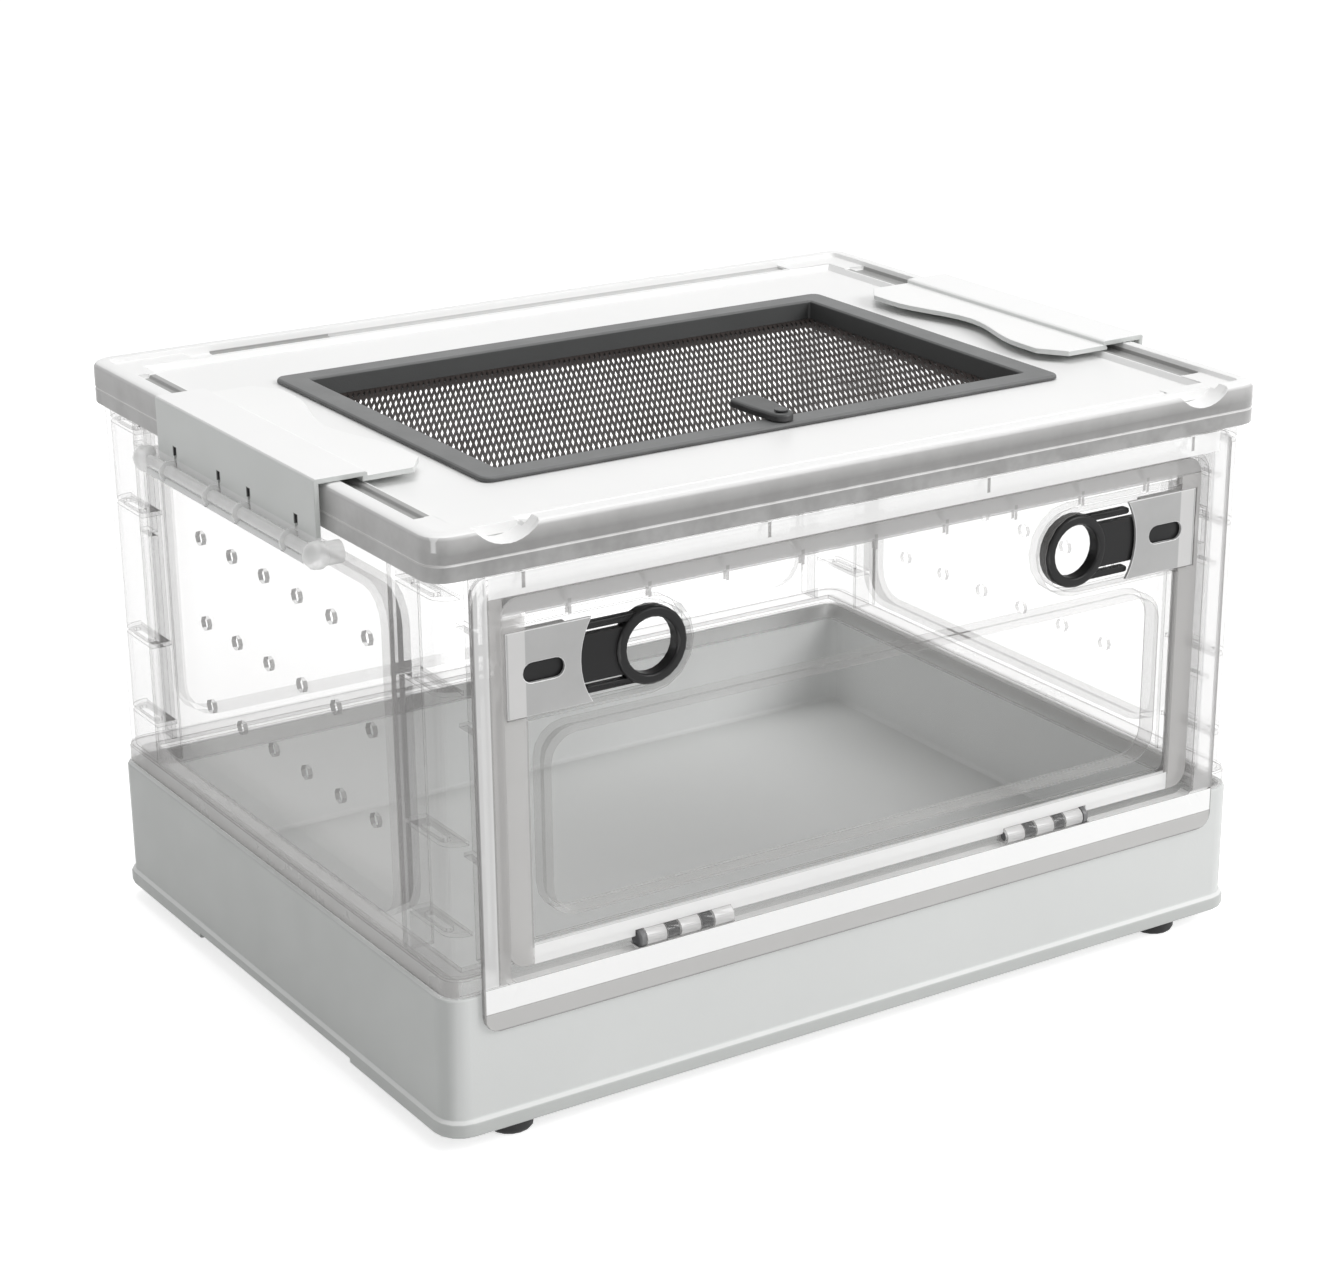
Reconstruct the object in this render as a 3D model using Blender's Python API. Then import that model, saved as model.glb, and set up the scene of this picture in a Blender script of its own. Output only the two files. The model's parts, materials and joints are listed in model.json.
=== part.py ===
# Reptile feeding box: a deep tray on four feet, clear walls, a front door that
# folds down, a lid held by two swinging clamps, and a meshed vent in the lid.
# Metres, +Z up. The box stands on z = 0, its front faces -Y, and it is centred on X and Y.

import bpy
import bmesh
from math import cos, sin, pi, radians, degrees, sqrt, asin, atan2
from mathutils import Matrix, Vector

MM = 0.001

# Whole box
BOX_WIDTH = 420 * MM
BOX_DEPTH = 327 * MM
GAP = 0.3 * MM                # play left between pieces that touch
CORNER_RADIUS = 11 * MM
CORNER_STEPS = 4              # facets in a quarter turn
CLEAR_WALL = 2.2 * MM         # clear wall thickness
EDGE = 0.8 * MM               # small broken edges

# Feet
FOOT_HEIGHT = 10.5 * MM
FOOT_RADIUS = 10 * MM
FOOT_INSET = 35 * MM          # foot centre from the tray's side
FOOT_SIDES = 16

# Tray
TRAY_BOTTOM = 8 * MM
TRAY_RIM = 70 * MM
TRAY_WALL = 3 * MM
TRAY_FLOOR = 3.6 * MM
TRAY_FRONT_INSET = 2.5 * MM   # tray face behind the lid's face, front and back
LIP_REACH = 2 * MM
LIP_HEIGHT = 7 * MM
GRIP_NOTCH_LENGTH = 151 * MM
GRIP_NOTCH_HEIGHT = 2.4 * MM

# Clear seat ring on the tray's rim
SEAT_HEIGHT = 8.2 * MM
SEAT_WIDTH = 11 * MM
SEAT_SKIRT = 8 * MM           # how far it reaches down inside the tray

# Lid
LID_BOTTOM = 245.8 * MM
LID_SKIRT = 18.8 * MM         # skirt's height
LID_SEAM_RISE = 6.8 * MM      # seam line above the skirt's lower edge
LID_SINK = 5.2 * MM           # deck below the rim
LID_GROOVE_DEPTH = 4 * MM     # groove below the rim
LID_RIDGE_RISE = 2.6 * MM     # ridge above the deck
LID_WALL = 2.4 * MM
LID_RIM_WIDTH = 7.5 * MM
LID_GROOVE_WIDTH = 7 * MM
LID_RIDGE_WIDTH = 4 * MM
LID_CORNER_X = 44 * MM        # flat corners that close the groove, along the front
LID_CORNER_Y = 33 * MM        # and along the sides
HEADROOM = 1.8 * MM           # lid's underside above the walls
SCOOP_WIDTH = 28.6 * MM
SCOOP_DEPTH = 7.2 * MM
SCOOP_WALL = 1.6 * MM
SCOOP_LENGTH = 11 * MM
SCOOP_FROM_SIDE = 34 * MM

# Clear walls
POST_SIDE = 39 * MM           # post's reach along the side wall
POST_FRONT = 21.3 * MM        # and along the front or back wall
POST_FLANGE = 13 * MM
SHELF = 1.8 * MM
LOW_SHELVES = (17.2 * MM, 56.2 * MM)      # above the post's foot
HIGH_SHELVES = (57.4 * MM, 18.4 * MM)     # below its top
LOW_RIB = 46.7 * MM
HIGH_RIBS = (74.9 * MM, 33.4 * MM)
PAN_DEPTH = 10 * MM
PAN_BORDER = 7 * MM
PAN_HEAD = 26.4 * MM          # window below the wall's top
PAN_FOOT = 9.2 * MM           # and above its foot
PAN_RADIUS = 14 * MM
VENT_RADIUS = 3.5 * MM
VENT_COLUMNS = 6
VENT_ROWS = 3
VENT_PITCH = 32 * MM
VENT_ROW_PITCH = 40 * MM

# Front frame and door
FRAME_SIDE = 16.5 * MM        # frame's edge from the lid's side
FRAME_OVERLAP = 17 * MM       # how far it hangs over the tray
FRAME_RADIUS = 7 * MM
FRAME_PLATE = 2.2 * MM
FRAME_SILL_RADIUS = 3 * MM    # lower corners of its opening, clear of the swinging door
TUNNEL_DEPTH = 20.2 * MM      # how far the door's surround reaches back
DOOR_SIDE = 14 * MM           # door's edge from the frame's
DOOR_HEAD = 11.8 * MM         # door's top below the lid's skirt
DOOR_RADIUS = 8 * MM
DOOR_RIM = 14 * MM            # rim's depth behind the door's face
DOOR_SETBACK = 3.5 * MM       # door's face behind the frame's face
DOOR_PLAY = 1.1 * MM          # gap round the door's top and sides
DOOR_SILL = 4 * MM            # and under it
DAM_RISE = 7.5 * MM           # dam above the sill
PANE_SIDE = 21.5 * MM         # door's edge to its sunk window
PANE_FOOT = 18.5 * MM
PANE_DROP = 28.5 * MM         # window's top below the latches
PANE_DEPTH = 9 * MM
PANE_RADIUS = 12 * MM
GUSSET = 6 * MM
DOOR_GUSSETS = 9
DOOR_GUSSET_PITCH = 37 * MM
INNER_GUSSET = 56 * MM        # frame's gussets, from the middle
OUTER_GUSSET = 15.7 * MM      # and from the posts

# Door hinges
HINGE_DROP = 1.5 * MM         # axis below the door's edge
HINGE_INSET = 84.9 * MM       # hinge's middle from the door's side
BARREL_RADIUS = 4.1 * MM
BARREL_LENGTH = 9.8 * MM
LUG_RADIUS = 3.9 * MM
LUG_LENGTH = 6.2 * MM
HINGE_PLAY = 0.35 * MM
HINGE_SIDES = 12
PIN_RADIUS = 2.0 * MM
PIN_HEAD_RADIUS = 4.2 * MM
PIN_HEAD_LENGTH = 3 * MM

# Door latches
LATCH_DROP = 32.5 * MM        # below the door's top
LATCH_INSET = 70 * MM         # ring's middle from the door's side
RING_OUTER = 16.5 * MM
RING_INNER = 12 * MM
POCKET_HALF = 18.2 * MM
POCKET_DEPTH = 7 * MM
COVER_RADIUS = 33.5 * MM      # round inner end of the cover plate, about the ring
COVER_THICK = 1.6 * MM
COVER_WINDOW = (19 * MM, 8.4 * MM)
SLIDER_HALF = 10 * MM
SLIDER_THICK = 3.6 * MM
SLIDER_SIDES = 24
BOLT_HALF = 4.4 * MM
BOLT_PLAY = (2.6 * MM, 4 * MM)  # round the bolt in the frame's slot, in depth and in height
PRONG_HALF = 1.5 * MM
PRONG_OFFSET = 13.4 * MM
LATCH_TRAVEL = 6 * MM

# Clamps and their rods
CLAMP_LENGTH = 152.6 * MM
CLAMP_WALL = 2.4 * MM
CLAMP_REACH = 18.1 * MM       # top plate's inner edge from the lid's side
TAB_CLEAR = 0.8 * MM          # tab above the lid's ridge
TAB_REACH = 49 * MM           # tab's lobes from the lid's side
TAB_HOLLOW = 10.5 * MM
TAB_LOBE = 50 * MM            # half the length of the finger hollow
TAB_CHAMFER = 9 * MM
ROD_OUTSET = 8 * MM           # rod's axis from the lid's side
ROD_DROP = 7.5 * MM           # below the lid's skirt
ROD_RADIUS = 2.8 * MM
ROD_SIDES = 12
HOOK_PLAY = 0.4 * MM
HOOK_END = -130               # degrees round the rod, 0 towards the box
BALL_RADIUS = 6 * MM
DISC_RADIUS = 4.8 * MM
DISC_THICK = 1.2 * MM
DISC_PLACES = (14.5 * MM, 58.5 * MM)
SLIT_WIDTH = 2.2 * MM
SLIT_RISE = 10 * MM           # above the rod's axis

# Vent in the lid
VENT_SIDE = 61 * MM           # vent frame from the lid's side
VENT_FRONT = 67 * MM          # and from its front and back
VENT_RAIL = 11.5 * MM
VENT_CORNER = 5 * MM
TUB_CORNER = 1.2 * MM         # the frame's hanging part and the hole it fits
VENT_FLANGE = 2.1 * MM
VENT_TUB = 9.8 * MM           # how far the frame hangs below the deck
VENT_LEDGE = 2.4 * MM
NET_THICK = 1.0 * MM
NET_BORDER = 3.6 * MM
NET_COLUMNS = 26              # half gaps across
NET_ROWS = 13                 # half gaps from front to back
NET_STRAND = 1.3 * MM
TURN_TAB_LENGTH = 36 * MM
TURN_TAB_WIDTH = 14 * MM
TURN_TAB_THICK = 3.6 * MM
TURN_TAB_NECK = 10.5 * MM
PIVOT_RADIUS = 2.2 * MM

# Worked out from the sizes above
HALF_W = BOX_WIDTH / 2
HALF_D = BOX_DEPTH / 2
TRAY_HALF_D = HALF_D - TRAY_FRONT_INSET
UNDERSIDE = FOOT_HEIGHT + GAP
SEAT_BOTTOM = TRAY_RIM + GAP
SEAT_TOP = SEAT_BOTTOM + SEAT_HEIGHT
LID_RIM = LID_BOTTOM + LID_SKIRT
LID_SEAM = LID_BOTTOM + LID_SEAM_RISE
LID_DECK = LID_RIM - LID_SINK
LID_RIDGE = LID_DECK + LID_RIDGE_RISE
LID_GROOVE = LID_RIM - LID_GROOVE_DEPTH
LID_UNDER = LID_DECK - CLEAR_WALL
VENT_WIDTH = BOX_WIDTH - 2 * VENT_SIDE
VENT_DEPTH = BOX_DEPTH - 2 * VENT_FRONT
WALL_X = HALF_W - LID_WALL - GAP
WALL_Y = HALF_D - LID_WALL - GAP
WALL_RADIUS = CORNER_RADIUS - EDGE
WALL_BOTTOM = SEAT_TOP + GAP
WALL_TOP = LID_UNDER - HEADROOM
BETWEEN_POSTS = WALL_X - POST_FRONT - GAP   # half the clear width at front and back
PAN_BOTTOM = WALL_BOTTOM + PAN_FOOT
PAN_TOP = WALL_TOP - PAN_HEAD
FRAME_WIDTH = BOX_WIDTH - 2 * FRAME_SIDE
FRAME_BOTTOM = TRAY_RIM - FRAME_OVERLAP
FRAME_FRONT = -HALF_D
FRAME_BACK = FRAME_FRONT + FRAME_PLATE
HALF_DOOR = FRAME_WIDTH / 2 - DOOR_SIDE
OPENING_HALF = HALF_DOOR + DOOR_PLAY
OPENING_BOTTOM = SEAT_BOTTOM + CLEAR_WALL
DOOR_FRONT = FRAME_FRONT + DOOR_SETBACK
DOOR_BOTTOM = OPENING_BOTTOM + DOOR_SILL
DOOR_TOP = LID_BOTTOM - DOOR_HEAD
OPENING_TOP = DOOR_TOP + DOOR_PLAY
DAM_TOP = OPENING_BOTTOM + DAM_RISE
HINGE_Y = FRAME_FRONT + PIN_HEAD_RADIUS
HINGE_Z = DOOR_BOTTOM - HINGE_DROP
HINGE_CENTRE = HALF_DOOR - HINGE_INSET
LATCH_Z = DOOR_TOP - LATCH_DROP
LATCH_RING_X = HALF_DOOR - LATCH_INSET
POCKET_FLOOR = DOOR_FRONT + POCKET_DEPTH
PANE_BOTTOM = DOOR_BOTTOM + PANE_FOOT
PANE_TOP = LATCH_Z - PANE_DROP
ROD_Z = LID_BOTTOM - ROD_DROP


for old in list(bpy.data.objects):
    bpy.data.objects.remove(old, do_unlink=True)


# Materials: one for each kind of plastic, rubber or metal

def finish(name, colour, roughness, metallic=0.0, clear=0.0):
    material = bpy.data.materials.new(name)
    material.use_nodes = True
    shader = material.node_tree.nodes["Principled BSDF"]
    shader.inputs["Base Color"].default_value = (*colour, 1.0)
    shader.inputs["Roughness"].default_value = roughness
    shader.inputs["Metallic"].default_value = metallic
    shader.inputs["Transmission Weight"].default_value = clear
    material.diffuse_color = (*colour, 1.0 - 0.6 * clear)
    return material


TRAY_PLASTIC = finish("tray_plastic", (0.60, 0.62, 0.60), 0.45)
CLEAR_PLASTIC = finish("clear_plastic", (0.93, 0.94, 0.94), 0.08, clear=0.9)
LID_PLASTIC = finish("lid_plastic", (0.80, 0.80, 0.79), 0.25, clear=0.3)
CLAMP_PLASTIC = finish("clamp_plastic", (0.62, 0.64, 0.62), 0.4)
DARK_PLASTIC = finish("dark_plastic", (0.045, 0.05, 0.05), 0.45)
BLACK_PLASTIC = finish("black_plastic", (0.012, 0.012, 0.012), 0.4)
COVER_PLASTIC = finish("cover_plastic", (0.30, 0.30, 0.30), 0.35)
RUBBER = finish("black_rubber", (0.01, 0.01, 0.01), 0.8)
PIN_METAL = finish("pin_metal", (0.16, 0.16, 0.16), 0.35, metallic=0.8)


# Flat outlines, each a list of (u, v) points

def rounded_box(u0, u1, v0, v1, radius, steps=CORNER_STEPS, lower=None):
    # lower is the radius of the two corners at v0, where it differs
    high = max(radius, 0.2 * MM)
    low = max(lower or radius, 0.2 * MM)
    points = []
    corners = (
        (u1 - low, v0 + low, low, -90),
        (u1 - high, v1 - high, high, 0),
        (u0 + high, v1 - high, high, 90),
        (u0 + low, v0 + low, low, 180),
    )
    for cu, cv, radius, start in corners:
        for i in range(steps + 1):
            angle = radians(start + 90 * i / steps)
            points.append((cu + radius * cos(angle), cv + radius * sin(angle)))
    return points


def inset_box(half_u, half_v, radius, inset):
    return rounded_box(
        inset - half_u, half_u - inset, inset - half_v, half_v - inset, radius - inset
    )


def arc(cu, cv, radius, start, end, steps):
    points = []
    for i in range(steps + 1):
        angle = radians(start + (end - start) * i / steps)
        points.append((cu + radius * cos(angle), cv + radius * sin(angle)))
    return points


def circle(cu, cv, radius, sides):
    return arc(cu, cv, radius, 0, 360 - 360 / sides, sides - 1)


def mirrored(points, side):
    return [(u * side, v) for u, v in points]


# Solids

PLANES = {
    "level": lambda u, v, w: (u, v, w),     # u = x, v = y, w = z
    "front": lambda u, v, w: (u, w, v),     # u = x, v = z, w = y
    "side": lambda u, v, w: (w, u, v),      # u = y, v = z, w = x
}


def solid(name, material, mesh_data, smooth=None):
    mesh = bpy.data.meshes.new(name)
    bmesh.ops.recalc_face_normals(mesh_data, faces=mesh_data.faces[:])
    mesh_data.to_mesh(mesh)
    mesh_data.free()
    mesh.materials.append(material)
    if smooth:
        mesh.shade_smooth()
        mesh.set_sharp_from_angle(angle=radians(smooth))
    created = bpy.data.objects.new(name, mesh)
    bpy.context.collection.objects.link(created)
    return created


def add_skin(mesh_data, loops, plane, ring=False):
    place = PLANES[plane]
    rows = []
    for points, w in loops:
        rows.append([mesh_data.verts.new(place(u, v, w)) for u, v in points])
    pairs = list(zip(rows, rows[1:]))
    if ring:
        pairs.append((rows[-1], rows[0]))
    for first, second in pairs:
        count = len(first)
        for i in range(count):
            j = (i + 1) % count
            mesh_data.faces.new((first[i], first[j], second[j], second[i]))
    if not ring:
        mesh_data.faces.new(rows[0])
        mesh_data.faces.new(rows[-1])


def skin(name, material, loops, plane, ring=False, smooth=None):
    mesh_data = bmesh.new()
    add_skin(mesh_data, loops, plane, ring)
    return solid(name, material, mesh_data, smooth)


def prisms(name, material, pieces, plane, smooth=None):
    # pieces: (outline, w0, w1), each a separate body
    mesh_data = bmesh.new()
    for outline, w0, w1 in pieces:
        add_skin(mesh_data, [(outline, w0), (outline, w1)], plane)
    return solid(name, material, mesh_data, smooth)


def boxes(name, pieces):
    # pieces: (x0, x1, y0, y1, z0, z1)
    outlines = []
    for x0, x1, y0, y1, z0, z1 in pieces:
        outlines.append(([(x0, y0), (x1, y0), (x1, y1), (x0, y1)], z0, z1))
    return prisms(name, CLEAR_PLASTIC, outlines, "level")


def combine(target, tool, operation):
    modifier = target.modifiers.new(tool.name, "BOOLEAN")
    modifier.operation = operation
    modifier.solver = "EXACT"
    modifier.object = tool
    tool.hide_render = True
    tool.display_type = "WIRE"


def cut(target, tool):
    combine(target, tool, "DIFFERENCE")


def join(target, tool):
    combine(target, tool, "UNION")


# Feet

def make_foot(name, x, y):
    rim = FOOT_RADIUS
    loops = [
        (circle(x, y, rim - 1.5 * EDGE, FOOT_SIDES), 0.0),
        (circle(x, y, rim, FOOT_SIDES), 2 * EDGE),
        (circle(x, y, rim, FOOT_SIDES), FOOT_HEIGHT),
    ]
    skin(name, RUBBER, loops, "level", smooth=40)


# Tray: floor, walls, a lip round the bottom and a shallow grip notch at each side

def make_tray():
    def loop(inset, z):
        return inset_box(HALF_W, TRAY_HALF_D, CORNER_RADIUS, inset), z

    lip_top = TRAY_BOTTOM + LIP_HEIGHT
    floor = UNDERSIDE + TRAY_FLOOR
    tray = skin("base_tray", TRAY_PLASTIC, [
        loop(TRAY_WALL, UNDERSIDE),
        loop(TRAY_WALL - EDGE, TRAY_BOTTOM),
        loop(EDGE - LIP_REACH, TRAY_BOTTOM),
        loop(-LIP_REACH, TRAY_BOTTOM + EDGE),
        loop(-LIP_REACH, lip_top - EDGE),
        loop(0, lip_top + EDGE),
        loop(0, TRAY_RIM - EDGE),
        loop(EDGE, TRAY_RIM),
        loop(TRAY_WALL, TRAY_RIM),
        loop(TRAY_WALL, floor + 2 * EDGE),
        loop(TRAY_WALL + 2 * EDGE, floor),
    ], "level", smooth=30)
    half_notch = GRIP_NOTCH_LENGTH / 2
    beyond = HALF_W + 2 * LIP_REACH
    cut(tray, boxes("grip_notch_cutter", [
        (-beyond, beyond, -half_notch, half_notch, 0, TRAY_BOTTOM + GRIP_NOTCH_HEIGHT),
    ]))


# Clear ring that seats on the tray's rim and carries the walls

def make_seat_ring():
    outer = HALF_W - WALL_X
    skirt = TRAY_WALL + GAP
    web = SEAT_TOP - CLEAR_WALL
    skirt_bottom = SEAT_BOTTOM - SEAT_SKIRT

    def loop(inset, z):
        half_d = WALL_Y + outer
        return inset_box(HALF_W, half_d, CORNER_RADIUS, inset), z

    side_skirt = max(skirt, WALL_Y + outer - TRAY_HALF_D + skirt)
    ring = skin("seat_ring", CLEAR_PLASTIC, [
        loop(outer, SEAT_BOTTOM),
        loop(outer, SEAT_TOP - EDGE),
        loop(outer + EDGE, SEAT_TOP),
        loop(outer + SEAT_WIDTH, SEAT_TOP),
        loop(outer + SEAT_WIDTH, web),
        loop(side_skirt + CLEAR_WALL, web),
        loop(side_skirt + CLEAR_WALL, skirt_bottom),
        loop(side_skirt, skirt_bottom),
        loop(side_skirt, SEAT_BOTTOM),
    ], "level", ring=True, smooth=30)
    reach = OPENING_HALF + CLEAR_WALL + GAP
    cut(ring, boxes("door_gap_cutter", [
        (-reach, reach, -HALF_D, -WALL_Y + 1.6 * SEAT_WIDTH, TRAY_RIM - GAP, SEAT_TOP + GAP),
    ]))


# Corner posts: a folded clear strip with shelves, in four copies turned by mirroring

def make_post(name, side, end):
    # side is -1 at the left and 1 at the right; end is -1 at the front and 1 at the back
    wall = CLEAR_WALL
    inner = WALL_RADIUS - wall
    centre_x = WALL_X - WALL_RADIUS
    centre_y = WALL_Y - WALL_RADIUS
    side_end = WALL_Y - POST_SIDE
    front_end = WALL_X - POST_FRONT
    flange_x = WALL_X - POST_FLANGE
    flange_y = WALL_Y - POST_FLANGE
    outline = [
        (flange_x, side_end),
        (WALL_X, side_end),
        *arc(centre_x, centre_y, WALL_RADIUS, 0, 90, CORNER_STEPS),
        (front_end, WALL_Y),
        (front_end, flange_y),
        (front_end + wall, flange_y),
        (front_end + wall, WALL_Y - wall),
        *arc(centre_x, centre_y, inner, 90, 0, CORNER_STEPS),
        (WALL_X - wall, side_end + wall),
        (flange_x, side_end + wall),
    ]

    def turned(points):
        return [(u * side, v * end) for u, v in points]

    post = prisms(name, CLEAR_PLASTIC, [(turned(outline), WALL_BOTTOM, WALL_TOP)], "level", 30)
    overlap = wall / 2
    shelf = turned([
        (flange_x + overlap, side_end + overlap),
        (WALL_X - overlap, side_end + overlap),
        *arc(centre_x, centre_y, WALL_RADIUS - overlap, 0, 90, CORNER_STEPS),
        (flange_x + overlap, WALL_Y - overlap),
    ])
    mesh_data = bmesh.new()
    shelf_heights = [WALL_BOTTOM + z for z in LOW_SHELVES] + [WALL_TOP - z for z in HIGH_SHELVES]
    for z in shelf_heights:
        add_skin(mesh_data, [(shelf, z), (shelf, z + SHELF)], "level")
    for z in [WALL_BOTTOM + LOW_RIB] + [WALL_TOP - z for z in HIGH_RIBS]:
        rib = turned([
            (front_end + overlap, flange_y),
            (flange_x - wall, flange_y),
            (flange_x - wall, WALL_Y - overlap),
            (front_end + overlap, WALL_Y - overlap),
        ])
        add_skin(mesh_data, [(rib, z), (rib, z + SHELF)], "level")
    join(post, solid(name + "_shelves", CLEAR_PLASTIC, mesh_data))

    slot_x = WALL_X - POST_FLANGE / 2
    slot_y = (side_end + WALL_Y) / 2
    slot = turned(rounded_box(
        slot_x - wall, slot_x + wall, slot_y - POST_SIDE / 4, slot_y + POST_SIDE / 4, wall, 2
    ))
    slots = [(slot, z - EDGE, z + SHELF + EDGE) for z in shelf_heights]
    cut(post, prisms(name + "_slots", CLEAR_PLASTIC, slots, "level"))


# Wall panels: a clear sheet with a sunk window

def pan_loops(outer, window, radius, face, inward, depth):
    # outer and window: (u0, u1, v0, v1); face: the outer face; inward: +1 or -1 along w
    wall = CLEAR_WALL
    back = face + inward * wall
    sunk = face + inward * depth
    u0, u1, v0, v1 = window
    wide = (u0 - wall, u1 + wall, v0 - wall, v1 + wall)
    slope = PAN_DEPTH / 12
    floor = (u0 + slope, u1 - slope, v0 + slope, v1 - slope)
    wide_floor = (u0 + slope - wall, u1 - slope + wall, v0 + slope - wall, v1 - slope + wall)
    return [
        (rounded_box(*floor, radius), sunk),
        (rounded_box(*window, radius), face),
        (rounded_box(*outer, EDGE), face),
        (rounded_box(*outer, EDGE), back),
        (rounded_box(*wide, radius + wall), back),
        (rounded_box(*wide_floor, radius + wall), sunk + inward * wall),
    ]


def make_side_panel(name, side):
    half = WALL_Y - POST_SIDE - GAP
    outer = (-half, half, WALL_BOTTOM, WALL_TOP)
    window = (PAN_BORDER - half, half - PAN_BORDER, PAN_BOTTOM, PAN_TOP)
    loops = pan_loops(outer, window, PAN_RADIUS, side * WALL_X, -side, PAN_DEPTH)
    panel = skin(name, CLEAR_PLASTIC, loops, "side", smooth=30)
    holes = []
    through = (side * (WALL_X - PAN_DEPTH + 2 * CLEAR_WALL),
               side * (WALL_X - PAN_DEPTH - 3 * CLEAR_WALL))
    for row in range(VENT_ROWS):
        for column in range(VENT_COLUMNS):
            y = (column - (VENT_COLUMNS - 1) / 2) * VENT_PITCH
            z = (PAN_TOP + PAN_BOTTOM) / 2 + (row - (VENT_ROWS - 1) / 2) * VENT_ROW_PITCH
            holes.append((circle(y, z, VENT_RADIUS, 8), min(through), max(through)))
    cut(panel, prisms(name + "_vents", CLEAR_PLASTIC, holes, "side"))


def make_back_panel():
    half = BETWEEN_POSTS
    outer = (-half, half, WALL_BOTTOM, WALL_TOP)
    window = (PAN_BORDER - half, half - PAN_BORDER, PAN_BOTTOM, PAN_TOP)
    loops = pan_loops(outer, window, PAN_RADIUS, WALL_Y, -1, PAN_DEPTH)
    skin("back_panel", CLEAR_PLASTIC, loops, "front", smooth=30)


# Hinges: each is worked out from its outer end towards the middle of the door

def hinge_spans():
    # (kind, x0, x1) for the right-hand hinge
    head_end = HINGE_CENTRE + 1.5 * BARREL_LENGTH + LUG_LENGTH + 2 * HINGE_PLAY
    spans = [("head", head_end + HINGE_PLAY, head_end + HINGE_PLAY + PIN_HEAD_LENGTH)]
    x = head_end
    for kind in ("barrel", "lug", "barrel", "lug", "barrel"):
        length = BARREL_LENGTH if kind == "barrel" else LUG_LENGTH
        spans.append((kind, x - length, x))
        x -= length + HINGE_PLAY
    return spans


def hinge_cylinders(name, kind, radius, extra=0.0):
    pieces = []
    for side in (-1, 1):
        for found, x0, x1 in hinge_spans():
            if found == kind:
                ends = sorted((side * (x0 - extra), side * (x1 + extra)))
                pieces.append((circle(HINGE_Y, HINGE_Z, radius, HINGE_SIDES), *ends))
    return prisms(name, CLEAR_PLASTIC, pieces, "side")


def hinge_bore(name):
    spans = hinge_spans()
    far = spans[0][2] + HINGE_PLAY
    near = spans[-1][1] - HINGE_PLAY
    bore = circle(HINGE_Y, HINGE_Z, PIN_RADIUS + GAP, HINGE_SIDES)
    pieces = [(bore, near, far), (bore, -far, -near)]
    return prisms(name, CLEAR_PLASTIC, pieces, "side")


def make_hinge_pin(name, side):
    spans = hinge_spans()
    inner_end = side * (spans[-1][1] + HINGE_PLAY)
    head_in = side * spans[0][1]
    head_out = side * spans[0][2]
    shaft = circle(HINGE_Y, HINGE_Z, PIN_RADIUS, HINGE_SIDES)
    head = circle(HINGE_Y, HINGE_Z, PIN_HEAD_RADIUS, HINGE_SIDES)
    rounded = circle(HINGE_Y, HINGE_Z, PIN_HEAD_RADIUS - EDGE, HINGE_SIDES)
    loops = [
        (shaft, inner_end),
        (shaft, head_in),
        (head, head_in),
        (head, head_out - side * EDGE),
        (rounded, head_out),
    ]
    skin(name, PIN_METAL, loops, "side", smooth=40)


# Front frame: a bezel over the tray's front, with a tunnel that surrounds the door

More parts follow.
